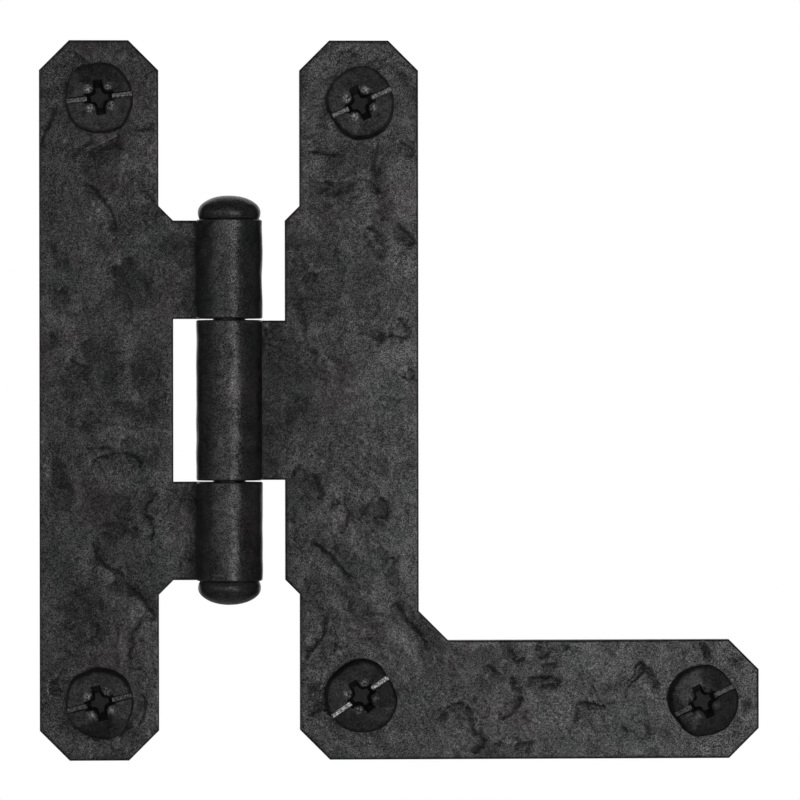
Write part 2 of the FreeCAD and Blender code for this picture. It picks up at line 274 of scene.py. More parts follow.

# Patches of painted shade (above 0) and painted highlight (below 0) on the coat, each with its outline
# in pixels of the photograph
STRAP_SHADES = {
    "under_flake": (0.5, [
        (85, 150), (104, 140), (122, 133), (121, 150), (118, 170), (120, 190), (108, 196), (92, 190),
        (84, 176), (82, 160),
    ]),
    "crescent_head": (0.6, [(83, 183), (91, 186), (99, 190), (105, 199), (101, 201), (93, 195), (84, 188)]),
    "beside_crescent": (0.6, [(120, 192), (128, 182), (136, 176), (143, 186), (138, 195), (128, 199)]),
    "waist": (0.5, [(130, 205), (148, 207), (160, 217), (162, 226), (150, 222), (138, 218), (128, 215)]),
    "upper_tab": (0.6, [
        (158, 238), (175, 235), (196, 240), (197, 266), (182, 272), (170, 256), (160, 252),
    ]),
    "upper_tab_low": (0.5, [(180, 280), (197, 276), (197, 318), (184, 316), (178, 298)]),
    "below_crescent": (0.5, [(100, 243), (112, 242), (120, 250), (112, 259), (100, 254)]),
    "left_spot": (0.6, [(55, 255), (62, 252), (70, 258), (71, 266), (64, 271), (54, 268)]),
    "under_rising_ridge": (0.6, [
        (110, 272), (120, 266), (133, 259), (142, 266), (148, 280), (158, 290), (160, 305), (150, 313),
        (136, 311), (122, 306), (112, 298), (116, 288),
    ]),
    "small_ring": (0.5, [(58, 293), (66, 289), (73, 294), (73, 303), (66, 307), (60, 302)]),
    "left_ring": (0.5, [(40, 347), (46, 333), (54, 331), (61, 338), (59, 348), (50, 352), (43, 360)]),
    "middle": (0.6, [
        (78, 345), (86, 340), (97, 343), (108, 335), (116, 341), (118, 354), (126, 370), (124, 392),
        (108, 398), (98, 388), (91, 372), (88, 360),
    ]),
    "middle_right": (0.6, [
        (131, 352), (142, 347), (152, 345), (160, 352), (163, 366), (160, 380), (164, 396), (158, 410),
        (148, 400), (136, 394), (131, 376),
    ]),
    "middle_left": (0.55, [
        (60, 364), (74, 366), (87, 371), (94, 382), (98, 398), (84, 400), (70, 402), (62, 394),
    ]),
    "below_middle": (0.5, [
        (108, 402), (130, 404), (146, 400), (162, 402), (168, 412), (160, 425), (146, 426), (132, 418),
        (116, 414),
    ]),
    "oval": (0.6, [(82, 414), (90, 411), (97, 414), (100, 424), (97, 432), (90, 434), (84, 428)]),
    "right_of_arch": (0.5, [(140, 446), (152, 444), (160, 452), (160, 468), (148, 470), (142, 458)]),
    "left_oval": (0.55, [
        (50, 470), (56, 460), (64, 460), (70, 468), (72, 480), (76, 494), (74, 508), (62, 513),
        (51, 508), (48, 490),
    ]),
    "under_arch": (0.55, [
        (80, 490), (100, 493), (128, 493), (142, 492), (146, 502), (143, 520), (130, 537), (110, 541),
        (98, 534), (88, 518),
    ]),
    "centre_low": (0.6, [
        (93, 536), (106, 530), (119, 536), (122, 548), (120, 561), (110, 567), (99, 562), (94, 550),
    ]),
    "pit": (0.6, [(128, 529), (134, 525), (140, 529), (139, 537), (130, 537)]),
    "lower_tab": (0.8, [(182, 488), (197, 486), (197, 508), (188, 513), (180, 506)]),
    "lower_tab_low": (0.5, [(176, 556), (197, 548), (197, 579), (176, 579)]),
    "ledge": (0.6, [
        (104, 584), (118, 578), (134, 580), (150, 588), (159, 598), (158, 617), (150, 606), (140, 598),
        (126, 594), (112, 591),
    ]),
    "low_middle": (0.55, [
        (66, 592), (84, 586), (98, 592), (105, 606), (109, 624), (107, 640), (98, 648), (84, 645),
        (70, 638), (64, 618),
    ]),
    "dimple": (0.8, [(92, 624), (98, 621), (99, 632), (95, 641), (88, 641)]),
    "beside_low_screw": (0.7, [
        (128, 700), (139, 693), (146, 704), (141, 716), (134, 723), (124, 736), (126, 716),
    ]),
    "top_right_rubbed": (-0.35, [
        (128, 140), (150, 140), (156, 150), (155, 186), (146, 190), (140, 173), (126, 172), (122, 158),
    ]),
    "flake_rubbed": (-0.4, [(66, 126), (86, 134), (92, 137), (88, 148), (76, 157), (68, 150)]),
    "crescent_rubbed": (-0.6, [(90, 200), (99, 199), (107, 210), (109, 221), (100, 223), (92, 214)]),
    "left_edge_rubbed": (-0.35, [(41, 180), (49, 185), (51, 240), (56, 290), (50, 312), (41, 304)]),
    "left_rubbed": (-0.5, [(64, 310), (72, 318), (77, 336), (78, 352), (70, 357), (62, 348), (60, 328)]),
    "middle_rubbed": (-0.5, [(124, 335), (134, 334), (137, 348), (128, 357), (121, 350)]),
    "arch_rubbed": (-0.55, [
        (98, 462), (112, 462), (122, 466), (134, 470), (132, 485), (118, 491), (104, 486), (95, 474),
    ]),
    "right_rubbed": (-0.5, [(148, 474), (158, 468), (167, 478), (166, 492), (156, 495), (149, 486)]),
    "above_arch_rubbed": (-0.5, [(118, 424), (130, 421), (140, 428), (138, 437), (126, 437), (117, 434)]),
    "low_edge_rubbed": (-0.4, [(41, 410), (51, 420), (50, 450), (47, 480), (46, 524), (41, 524)]),
    "beside_oval_rubbed": (-0.4, [(70, 478), (79, 480), (81, 492), (75, 495), (70, 487)]),
    "low_right_rubbed": (-0.7, [
        (141, 612), (150, 609), (157, 622), (159, 700), (157, 726), (145, 746), (142, 722), (148, 692),
        (144, 652), (140, 630),
    ]),
    "ledge_rubbed": (-0.6, [(130, 595), (143, 601), (153, 613), (146, 614), (136, 603)]),
    "spur_rubbed": (-0.5, [(102, 568), (112, 567), (115, 578), (106, 579)]),
    "tab_rubbed": (-0.35, [(160, 520), (172, 519), (177, 540), (168, 553), (160, 545)]),
    "foot_rubbed": (-0.35, [(46, 716), (70, 738), (108, 746), (118, 757), (68, 757), (42, 730)]),
    "beside_dimple_rubbed": (-0.6, [(82, 628), (91, 622), (92, 636), (84, 639)]),
    "low_left_rubbed": (-0.25, [(41, 586), (57, 590), (60, 618), (56, 646), (41, 646)]),
    "knuckle_rubbed": (-0.45, [(222, 224), (239, 223), (240, 234), (228, 238), (221, 233)]),
}
ANGLE_SHADES = {
    "tab": (0.42, [
        (258, 318), (290, 320), (298, 334), (296, 350), (306, 366), (300, 388), (304, 404), (292, 424),
        (290, 450), (284, 484), (258, 484),
    ]),
    "tab_inner": (0.42, [
        (258, 318), (280, 320), (286, 350), (282, 396), (284, 440), (278, 484), (258, 484),
    ]),
    "tab_outer": (0.22, [
        (284, 318), (306, 330), (318, 344), (330, 352), (326, 372), (334, 388), (322, 404), (318, 424),
        (300, 434), (284, 440),
    ]),
    "right_of_screw": (0.6, [(391, 60), (402, 72), (412, 78), (416, 98), (408, 89), (397, 80)]),
    "under_screw": (0.35, [
        (344, 141), (360, 144), (372, 140), (378, 150), (374, 165), (362, 172), (346, 175), (332, 168),
        (323, 160), (336, 155),
    ]),
    "flake_right": (0.5, [(334, 188), (352, 187), (358, 191), (356, 201), (340, 204), (334, 198)]),
    "below_flake": (0.5, [
        (304, 204), (330, 206), (352, 206), (352, 214), (340, 222), (322, 221), (308, 213),
    ]),
    "tall_groove": (0.6, [(370, 160), (376, 160), (381, 176), (381, 197), (375, 193), (371, 177)]),
    "right_wave": (0.45, [(396, 139), (404, 145), (416, 150), (417, 143), (408, 139)]),
    "left_field": (0.45, [
        (286, 226), (296, 237), (312, 240), (340, 246), (347, 262), (344, 290), (340, 310), (330, 326),
        (310, 331), (297, 318), (287, 300),
    ]),
    "middle_field": (0.3, [
        (347, 268), (360, 261), (376, 264), (385, 276), (385, 300), (376, 320), (360, 323), (348, 312),
    ]),
    "left_slope": (0.5, [
        (287, 280), (295, 284), (304, 304), (308, 330), (314, 350), (306, 346), (300, 326), (294, 304),
    ]),
    "under_waves": (0.35, [
        (310, 356), (330, 355), (350, 353), (357, 364), (345, 376), (330, 385), (316, 380),
    ]),
    "below_tab": (0.4, [
        (292, 398), (330, 398), (338, 410), (326, 420), (306, 424), (296, 435), (290, 440), (285, 420),
    ]),
    "left_knot": (0.55, [
        (286, 470), (300, 466), (312, 474), (322, 470), (324, 486), (327, 500), (316, 507), (306, 500),
        (298, 490), (288, 488),
    ]),
    "left_low_field": (0.3, [
        (286, 488), (300, 492), (311, 508), (317, 530), (330, 548), (320, 561), (302, 561), (288, 552),
    ]),
    "square": (0.8, [
        (356, 512), (361, 502), (378, 499), (387, 504), (388, 520), (384, 529), (371, 527), (363, 515),
    ]),
    "beside_square": (0.5, [(345, 516), (354, 509), (361, 519), (351, 524)]),
    "diagonal": (0.5, [
        (318, 540), (330, 539), (347, 544), (360, 560), (373, 566), (377, 580), (366, 593), (354, 590),
        (344, 576), (334, 562), (325, 552),
    ]),
    "bowl": (0.45, [
        (331, 580), (346, 586), (362, 594), (371, 605), (379, 613), (393, 615), (388, 629), (370, 631),
        (356, 622), (346, 612), (339, 596),
    ]),
    "web": (0.45, [
        (395, 596), (403, 600), (412, 612), (425, 622), (441, 635), (437, 641), (428, 650), (431, 661),
        (424, 656), (420, 640), (410, 626), (399, 616),
    ]),
    "web_side": (0.35, [
        (404, 598), (418, 611), (448, 640), (442, 652), (428, 646), (419, 632), (409, 620),
    ]),
    "right_of_diagonal": (0.4, [
        (376, 536), (388, 552), (397, 566), (403, 584), (401, 598), (392, 590), (384, 574), (378, 556),
    ]),
    "left_low": (0.4, [(301, 580), (320, 582), (327, 600), (322, 614), (308, 606), (301, 596)]),
    "above_corner": (0.6, [(328, 643), (340, 643), (347, 650), (336, 653), (328, 650)]),
    "beside_corner": (0.5, [(305, 713), (318, 707), (332, 711), (330, 721), (318, 718), (308, 721)]),
    "foot_start": (0.4, [
        (420, 640), (440, 641), (446, 655), (453, 672), (440, 685), (426, 680), (420, 665),
    ]),
    "fork": (0.2, [
        (431, 727), (440, 714), (452, 708), (466, 703), (479, 699), (475, 712), (479, 736), (474, 743),
        (468, 727), (464, 712), (450, 717), (440, 725),
    ]),
    "low_edge": (0.4, [(464, 753), (480, 742), (488, 733), (491, 744), (501, 744), (498, 753), (480, 757)]),
    "bay": (0.2, [
        (499, 648), (508, 644), (514, 656), (524, 660), (540, 656), (556, 654), (570, 646), (573, 653),
        (558, 663), (544, 664), (528, 668), (512, 662),
    ]),
    "scribble_arc": (0.3, [
        (524, 684), (536, 680), (548, 677), (565, 677), (565, 687), (548, 691), (534, 691),
    ]),
    "scribble": (0.2, [
        (513, 676), (520, 690), (525, 702), (516, 713), (506, 721), (497, 718), (510, 710), (516, 698),
        (510, 684),
    ]),
    "hook": (0.1, [
        (571, 725), (574, 710), (580, 702), (592, 702), (601, 706), (607, 712), (596, 713), (586, 708),
        (581, 714), (579, 729),
    ]),
    "low_wave": (0.35, [(515, 753), (517, 746), (530, 743), (535, 750), (531, 756)]),
    "toe_drop": (0.55, [
        (598, 691), (610, 684), (624, 684), (635, 681), (640, 675), (635, 664), (644, 660), (650, 668),
        (655, 680), (661, 695), (652, 690), (644, 681), (632, 691), (616, 693),
    ]),
    "toe_line": (0.5, [
        (642, 700), (650, 706), (651, 728), (662, 727), (673, 727), (673, 739), (660, 739), (648, 732),
    ]),
    "toe_corner": (0.5, [(729, 659), (744, 653), (753, 660), (746, 669), (736, 665)]),
    "toe_right": (0.6, [(742, 700), (753, 700), (753, 712), (744, 714)]),
    "top_nick": (0.5, [(604, 641), (610, 649), (615, 661), (606, 657)]),
    "left_bay": (0.4, [(480, 650), (494, 650), (501, 664), (494, 673), (486, 668)]),
    "top_rubbed": (-0.35, [
        (305, 67), (330, 43), (390, 43), (415, 69), (409, 73), (392, 62), (370, 58), (340, 58),
        (322, 70), (311, 76),
    ]),
    "between_rubbed": (-0.45, [(358, 180), (368, 180), (371, 214), (362, 223), (355, 206)]),
    "waist_rubbed": (-0.4, [(299, 212), (318, 224), (316, 239), (304, 239), (297, 226)]),
    "slope_rubbed": (-0.8, [
        (386, 232), (400, 240), (413, 250), (417, 270), (415, 283), (404, 277), (395, 262), (387, 248),
    ]),
    "right_edge_rubbed": (-0.6, [
        (385, 154), (396, 160), (416, 155), (417, 220), (408, 225), (398, 212), (389, 190),
    ]),
    "band_rubbed": (-0.75, [
        (372, 352), (388, 346), (402, 343), (417, 343), (417, 362), (408, 360), (396, 366), (380, 372),
        (374, 385), (362, 393), (347, 397), (343, 388), (356, 380), (366, 366),
    ]),
    "bright_spot": (-0.9, [(404, 366), (410, 365), (415, 378), (406, 381)]),
    "flake_top_rubbed": (-0.45, [(300, 158), (316, 160), (325, 172), (316, 180), (301, 178)]),
    "left_top_rubbed": (-0.4, [(300, 110), (316, 112), (321, 128), (302, 129)]),
    "right_top_rubbed": (-0.5, [(400, 119), (413, 119), (415, 137), (402, 137)]),
    "knot_rubbed": (-0.4, [(287, 452), (304, 449), (319, 452), (319, 467), (300, 464), (287, 465)]),
    "lip_rubbed": (-0.35, [(324, 490), (336, 481), (349, 490), (347, 502), (334, 505), (326, 500)]),
    "low_edge_rubbed": (-0.4, [
        (398, 480), (416, 480), (417, 560), (417, 602), (406, 591), (402, 560), (397, 520),
    ]),
    "bowl_rubbed": (-0.6, [(366, 596), (378, 589), (391, 594), (397, 606), (386, 612), (373, 610)]),
    "ledge_rubbed": (-0.4, [(326, 514), (338, 511), (345, 520), (338, 533), (328, 528)]),
    "corner_rubbed": (-0.4, [
        (402, 619), (412, 630), (419, 646), (416, 661), (404, 650), (392, 641), (385, 630),
    ]),
    "sweep_rubbed": (-0.4, [(304, 662), (322, 650), (335, 658), (324, 676), (312, 685), (303, 680)]),
    "foot_edge_rubbed": (-0.4, [(300, 689), (308, 693), (307, 717), (300, 719)]),
    "right_spot_rubbed": (-0.7, [(403, 411), (415, 411), (417, 433), (405, 433)]),
    "foot_top_rubbed": (-0.5, [(446, 639), (500, 639), (501, 646), (480, 649), (450, 649)]),
    "before_toe_rubbed": (-0.3, [
        (566, 660), (590, 650), (630, 650), (635, 670), (624, 680), (600, 678), (580, 671),
    ]),
    "before_hook_rubbed": (-0.3, [
        (530, 700), (560, 696), (572, 704), (570, 729), (560, 741), (536, 744), (528, 724),
    ]),
    "left_scribble_rubbed": (-0.35, [(480, 684), (500, 690), (507, 704), (496, 713), (482, 712)]),
    "toe_rubbed": (-0.7, [(740, 716), (753, 716), (751, 729), (741, 729)]),
    "lens_rubbed": (-0.5, [(520, 643), (534, 643), (531, 657), (520, 657)]),
    "knuckle_low_rubbed": (-0.4, [(224, 386), (236, 384), (240, 396), (228, 400), (222, 395)]),
    "knuckle_arc": (0.7, [(222, 343), (231, 345), (240, 350), (241, 354), (231, 350), (222, 347)]),
    "knuckle_ring": (0.4, [(225, 352), (231, 350), (234, 356), (234, 364), (229, 361), (225, 357)]),
    "knuckle_ring_rubbed": (-0.6, [(233, 350), (237, 352), (237, 366), (233, 363)]),
    "knuckle_left": (0.4, [(212, 345), (221, 344), (222, 360), (223, 372), (216, 380), (212, 372)]),
    "knuckle_bend": (0.35, [(218, 402), (226, 404), (228, 420), (224, 434), (217, 430)]),
}


# Modelling by hand: a piece goes into edit mode with nothing selected, and comes out of it
def take(piece):
    """Makes a piece the only one that is selected."""
    bpy.ops.object.select_all(action="DESELECT")
    piece.select_set(True)
    bpy.context.view_layer.objects.active = piece


def begin(piece, pick="FACE"):
    take(piece)
    bpy.ops.object.mode_set(mode="EDIT")
    clear(pick)


def clear(pick="FACE"):
    bpy.ops.mesh.select_all(action="DESELECT")
    bpy.ops.mesh.select_mode(type=pick)


def end():
    bpy.ops.object.mode_set(mode="OBJECT")


def pick_out(kind, test):
    """Selects the faces or the edges of the piece in edit mode that pass a test."""
    mesh = bpy.context.edit_object.data
    form = bmesh.from_edit_mesh(mesh)
    for part in getattr(form, kind):
        part.select_set(bool(test(part)))
    bmesh.update_edit_mesh(mesh)


def pick_faces(test):
    pick_out("faces", test)


def pick_edges(test):
    pick_out("edges", test)


def points_of(piece):
    """The corners of a piece's mesh as rows of x, y, z."""
    flat = np.empty(len(piece.data.vertices) * 3)
    piece.data.vertices.foreach_get("co", flat)
    return flat.reshape(-1, 3)


def set_points(piece, points):
    piece.data.vertices.foreach_set("co", points.astype(np.float32).ravel())
    piece.data.update()


def make(name, plain_form, **values):
    """A new piece out of one of Blender's plain forms."""
    bpy.ops.object.select_all(action="DESELECT")
    plain_form(**values)
    piece = bpy.context.object
    piece.name = name
    piece.data.name = name
    return piece


def settle(piece):
    """Puts a plain form's place and turn into its mesh, so that its object sits at the origin."""
    take(piece)
    bpy.ops.object.transform_apply(location=True, rotation=True, scale=True)


def close_up(piece):
    """Turns every face of a finished closed piece outwards and smooths its shading."""
    begin(piece)
    bpy.ops.mesh.select_all(action="SELECT")
    bpy.ops.mesh.normals_make_consistent(inside=False)
    end()
    bpy.ops.object.shade_smooth_by_angle(angle=SMOOTH_BELOW)


def store_painted_shade(piece, amounts):
    """Stores the painted shade, above 0, or painted highlight, below 0, at each point of a piece, where its
    finish reads it.
    """
    coat = piece.data.attributes.new("dull", "FLOAT", "POINT")
    coat.data.foreach_set("value", amounts.astype(np.float32))


# Smooth random fields and steps, for forged and hammered surfaces
def wander(across, up, size, seed):
    """Smooth noise from about -1 to 1, with lumps of the given size."""
    places = zip((across / size).tolist(), (up / size).tolist())
    return np.fromiter((noise.noise((a, u, seed)) for a, u in places), float, len(across))


def waves(across, up, layers):
    """Layers of smooth noise added up, each given by its height, the size of its lumps and its seed."""
    return sum(height * wander(across, up, size, seed) for height, size, seed in layers)


def stray(points, layers):
    """How far a line wanders off at each point, by layers with one seed across and one up."""
    across = [(reach, size, seed) for reach, size, seed, _ in layers]
    up = [(reach, size, seed) for reach, size, _, seed in layers]
    return np.column_stack([waves(*points.T, across), waves(*points.T, up)])


def ease(value):
    """A smooth step from 0 to 1."""
    value = np.clip(value, 0, 1)
    return value * value * (3 - 2 * value)


def bell(offset, width):
    """1 in the middle, and dying away over the given width to both sides."""
    return np.exp(-((offset / width) ** 2))


CORNER_CUT = 0.25


def round_off(line, closed):
    """Cuts the corners of a line of points twice, which leaves a soft curve."""
    line = np.array(line, float)
    for _ in range(2):
        following = np.roll(line, -1, axis=0)
        if not closed:
            line, following, ends = line[:-1], following[:-1], (line[:1], line[-1:])
        near_start = line * (1 - CORNER_CUT) + following * CORNER_CUT
        near_end = line * CORNER_CUT + following * (1 - CORNER_CUT)
        soft = np.stack([near_start, near_end], axis=1).reshape(-1, 2)
        line = soft if closed else np.vstack([ends[0], soft, ends[1]])
    return line


def measure_to(points, line, closed):
    """For each point: its distance to a line, whether it lies to the right, and how far along."""
    starts = line if closed else line[:-1]
    runs = (np.roll(line, -1, axis=0) if closed else line[1:])[: len(starts)] - starts
    lengths = np.linalg.norm(runs, axis=1)
    offset = points[:, None, :] - starts[None]
    share = np.clip((offset * runs).sum(2) / lengths**2, 0, 1)
    gap = offset - share[..., None] * runs
    distance = np.linalg.norm(gap, axis=2)
    nearest = distance.argmin(1)
    row = np.arange(len(points))
    cross = runs[nearest, 0] * offset[row, nearest, 1] - runs[nearest, 1] * offset[row, nearest, 0]
    travelled = np.concatenate([[0], np.cumsum(lengths)])
    along = (travelled[nearest] + share[row, nearest] * lengths[nearest]) / travelled[-1]
    return distance[row, nearest], cross < 0, along


def inside(points, outline):
    """Which points lie inside a closed outline."""
    found = np.zeros(len(points), bool)
    for (x1, z1), (x2, z2) in zip(outline, np.roll(outline, -1, axis=0)):
        spans = (points[:, 1] < z1) != (points[:, 1] < z2)
        with np.errstate(divide="ignore", invalid="ignore"):
            crossing = x1 + (points[:, 1] - z1) * (x2 - x1) / (z2 - z1)
        found ^= spans & (points[:, 0] < crossing)
    return found


def near_line(points, line, closed, margin, layers):
    """A line of the photograph as a soft curve on the hinge, which points lie near it, and where
    those points lie to it once the line has strayed."""
    line = round_off([on_hinge(*pixel) for pixel in line], closed)
    near = np.all((points > line.min(0) - margin) & (points < line.max(0) + margin), axis=1)
    spots = points[near]
    return line, near, spots + stray(spots, layers)


# The forged relief below the sheet's face, in millimetres: a slow swell, with thin flakes in places
DEEPEST = 0.40
SWELL_LEVEL = 0.06375
SWELL = ((0.085, 8.5, 1.5), (0.0425, 4.0, 9.2), (0.024, 2.3, 95.0), (0.010, 1.15, 97.0), (0.008, 0.6, 55.0))
FACE_STRAY = ((0.9, 3.2, 71.0, 83.0),)
FLAKE_LEVELS = ((2.6, 6.5, 21.0), (1.17, 2.6, 33.0))
FLAKE_PATCHES = (7.0, 41.0)
FLAKES_FROM, FLAKES_OVER = -0.12, 0.3
FLAKE_DEPTH = 0.035
FLAKE_EDGE = 0.2

# The forging marks' lines stray and their depth is uneven; folds have a short lip on their high side
MARK_MARGIN = 1.0
LINE_STRAY = ((0.30, 1.1, 3.1, 7.7), (0.135, 0.5, 13.1, 17.7))
MARK_UNEVEN = ((0.45, 1.7, 5.3),)
END_TAPER = 0.18
FOLD_SPREAD = 1.15
MARK_LIP = 0.34
CREASE_SPREAD = 0.9
HOLLOW_LIP = 0.15

# A mark's line of painted shade in the coat: dark in a core and a tail on its low side, with a painted
# highlight on the lip on its other side. It is drawn broad at first and narrow later, as shares of its
# length.
STROKE_LEAD, STROKE_STARTS_OVER, STROKE_ENDS_OVER = 0.02, 0.06, 0.2
STROKE_BROAD, STROKE_NARROWS = 1.45, 0.8
CORE_SHARE, CORE_WIDTH, TAIL_WIDTH = 0.65, 0.25, 0.5
EDGE_WIDTH = 0.14
LIP_HIGHLIGHT, LIP_PLACE, LIP_WIDTH = 0.75, 0.36, 0.17


def forge_mark(points, kind, depth, reach, line):
    """How deep a forging mark lies at each point, in millimetres, and how much painted shade, above 0, or
    painted highlight, below 0, its line draws in the coat."""
    deep, drawn = np.zeros((2, len(points)))
    closed = kind == "hollow"
    line, near, spots = near_line(points, line, closed, reach + MARK_MARGIN, LINE_STRAY)
    if not near.any():
        return deep, drawn
    distance, right, along = measure_to(spots, line, closed)
    uneven = 1 + waves(*points[near].T, MARK_UNEVEN)
    taper, ends, broad = 1, 1, 1
    if not closed:
        taper = ease(along / END_TAPER) * ease((1 - along) / END_TAPER)
        ends = ease((along + STROKE_LEAD) / STROKE_STARTS_OVER) * ease((1 - along) / STROKE_ENDS_OVER)
        broad = STROKE_BROAD - STROKE_NARROWS * along
    if kind == "fold":
        low_side = 1 - ease(distance / (reach * FOLD_SPREAD))
        high_side = 1 - ease(distance / MARK_LIP)
        shape = np.where(right, low_side, high_side)
    elif kind == "crease":
        shape = np.exp(-distance / (reach * CREASE_SPREAD))
    else:
        shape = np.where(inside(spots, line), ease((distance + HOLLOW_LIP) / reach), 0)
    tail = np.exp(-distance / TAIL_WIDTH)
    below = CORE_SHARE * bell(distance, CORE_WIDTH * broad) + (1 - CORE_SHARE) * tail
    above = bell(distance, EDGE_WIDTH * broad) - LIP_HIGHLIGHT * bell(distance - LIP_PLACE, LIP_WIDTH)
    deep[near] = depth * taper * uneven * shape
    drawn[near] = ends * uneven * np.where(right, below, above)
    return deep, drawn


def relief(points, marks):
    """How deep the forged face lies at each point of the sheet, in millimetres."""
    x, z = (points + stray(points, FACE_STRAY)).T
    level = waves(x, z, FLAKE_LEVELS)
    flake = level - np.floor(level)
    slope = np.where(flake < FLAKE_EDGE, flake / FLAKE_EDGE, (1 - flake) / (1 - FLAKE_EDGE))
    where = ease((wander(x, z, *FLAKE_PATCHES) - FLAKES_FROM) / FLAKES_OVER)
    depth = SWELL_LEVEL + waves(x, z, SWELL) + FLAKE_DEPTH * where * slope
    for mark in marks.values():
        depth += forge_mark(points, *mark)[0]
    return np.clip(depth, 0, DEEPEST)


# Painted shade and highlight in the coat: painted shade in the depths and along the marks' lines,
# random clouds of tone, fine veins of painted shade with a painted highlight on their flank, patches of
# painted shade and highlight as the photograph shows them, and a painted highlight along the barrel's
# crown
LOW_SHADE, LOW_FULL = 0.35, 0.16
STROKE_SHADE = {"fold": 3.9, "crease": 3.6, "hollow": 1.6}
STROKE_MOST = 0.75
CLOUDS = ((0.12, 2.2, 121.0), (0.12, 5.5, 123.0))
VEIN_STRAY = ((0.7, 1.9, 111.0, 113.0),)
VEINS = ((3.1, 117.0), (2.0, 127.0))
VEIN_PATCH, VEINS_FROM, VEINS_OVER = 4.5, -0.25, 0.4
VEIN_SHADE, VEIN_WIDTH = 0.42, 0.06
VEIN_HIGHLIGHT, FLANK_PLACE, FLANK_WIDTH = 0.34, 0.16, 0.075
VEIN_MEAN = 0.13
PATCH_STRAY = ((0.55, 1.4, 23.1, 27.7), (0.33, 0.55, 43.1, 47.7))
PATCH_MARGIN = 1.2
PATCH_SOFT = 0.27
CROWN_HIGHLIGHT, CROWN_REACH = 0.42, 1.5
CROWN_UNEVEN = ((0.9, 1.2, 131.0),)


def painted_shade_and_tone(points, marks, shades):
    """How much painted shade, above 0, or painted highlight, below 0, the coat carries at each point of the
    face.
    """
    low, drawn, rubbed = np.zeros((3, len(points)))
    for kind, depth, reach, line in marks.values():
        deep, stroke = forge_mark(points, kind, depth, reach, line)
        stroke = stroke * np.clip(STROKE_SHADE[kind] * depth, 0, STROKE_MOST)
        low = np.maximum(low, deep)
        drawn, rubbed = np.maximum(drawn, stroke), np.minimum(rubbed, stroke)
    x, z = (points + stray(points, VEIN_STRAY)).T
    result = LOW_SHADE * ease(low / LOW_FULL) + drawn + rubbed + waves(x, z, CLOUDS)
    for size, seed in VEINS:
        level = wander(x, z, size, seed)
        where = ease((wander(x, z, VEIN_PATCH, seed + 2) - VEINS_FROM) / VEINS_OVER)
        result += VEIN_SHADE * (where * bell(level, VEIN_WIDTH) - VEIN_MEAN)
        result -= VEIN_HIGHLIGHT * (where * bell(level - FLANK_PLACE, FLANK_WIDTH) - VEIN_MEAN)
    for amount, line in shades.values():
        line, near, spots = near_line(points, line, True, PATCH_MARGIN, PATCH_STRAY)
        if near.any():
            distance = measure_to(spots, line, True)[0]
            within = np.where(inside(spots, line), distance, -distance)
            result[near] += amount * ease((within / PATCH_SOFT + 1) / 2)
    # A painted highlight along the barrel's crown
    crown_lit = bell(points[:, 0], CROWN_REACH) * (1 + waves(*points.T, CROWN_UNEVEN))
    return np.clip(result - CROWN_HIGHLIGHT * crown_lit, -1, 1)


# Leaf blanks and their outlines
def inset_blank(blank, amount):
    """A blank's outline moved inwards, apart from the ends that are rolled into the knuckles."""
    runs = np.roll(blank, -1, axis=0) - blank
    runs /= np.linalg.norm(runs, axis=1)[:, None]
    inward = np.column_stack([-runs[:, 1], runs[:, 0]])
    rolled = (blank[:, 0] == 0) & (np.roll(blank, -1, axis=0)[:, 0] == 0)
    level = (inward * blank).sum(1) + np.where(rolled, 0, amount)
    corners = [
        np.linalg.solve(np.array([inward[i - 1], inward[i]]), [level[i - 1], level[i]])
        for i in range(len(blank))
    ]
    return np.array(corners)


def along_blank(points, blank):
    """The edge of a blank nearest to each point, and how far along that edge it lies."""
    runs = np.roll(blank, -1, axis=0) - blank
    offset = points[:, None, :] - blank[None]
    share = np.clip((offset * runs).sum(2) / (runs**2).sum(1), 0, 1)
    gap = np.linalg.norm(offset - share[..., None] * runs, axis=2)
    edge = gap.argmin(1)
    return edge, share[np.arange(len(points)), edge]


def ruled(stops):
    """Lines about one cell apart that pass through every stop."""
    stops = np.unique(np.round(stops, STOP_DIGITS))
    lines = [stops[:1]]
    for low, high in zip(stops, stops[1:]):
        count = max(1, round((high - low) / CELL))
        lines.append(np.linspace(low, high, count + 1)[1:])
    return np.concatenate(lines)


def ruled_sheet(name, columns, rows):
    """A grid in the plane of the leaf's face, with its lines where the blank's corners need them."""
    across, up = len(columns) - 1, len(rows) - 1
    sheet = make(name, bpy.ops.mesh.primitive_grid_add, x_subdivisions=across, y_subdivisions=up, size=1)
    flat = points_of(sheet)
    column = np.rint((flat[:, 0] + 0.5) * across).astype(int)
    row = np.rint((flat[:, 1] + 0.5) * up).astype(int)
    set_points(sheet, np.column_stack([columns[column], np.full(len(flat), -SHEET), rows[row]]))
    return sheet


def cut_sloping_edges(outline):
    """Cuts the grid along the outline's sloping edges."""
    for (x1, z1), (x2, z2) in zip(outline, np.roll(outline, -1, axis=0)):
        if abs(x1 - x2) < CELL / 2 or abs(z1 - z2) < CELL / 2:
            continue
        low_x, high_x, low_z, high_z = min(x1, x2), max(x1, x2), min(z1, z2), max(z1, z2)

        def beside(face):
            middle = face.calc_center_median()
            return low_x < middle.x < high_x and low_z < middle.z < high_z

        clear()
        pick_faces(beside)
        bpy.ops.mesh.bisect(plane_co=(x1, -SHEET, z1), plane_no=(z2 - z1, 0, x1 - x2), threshold=WELD)


def drop_waste(outline, holes):
    """Deletes what lies outside the outline or inside a screw hole."""
    form = bmesh.from_edit_mesh(bpy.context.edit_object.data)
    middles = np.array([face.calc_center_median() for face in form.faces])[:, [0, 2]]
    waste = ~inside(middles, outline)
    for hole in holes:
        waste |= np.linalg.norm(middles - hole, axis=1) < HOLE_RADIUS
    gone = iter(waste)
    clear()
    pick_faces(lambda face: next(gone))
    bpy.ops.mesh.delete(type="FACE")


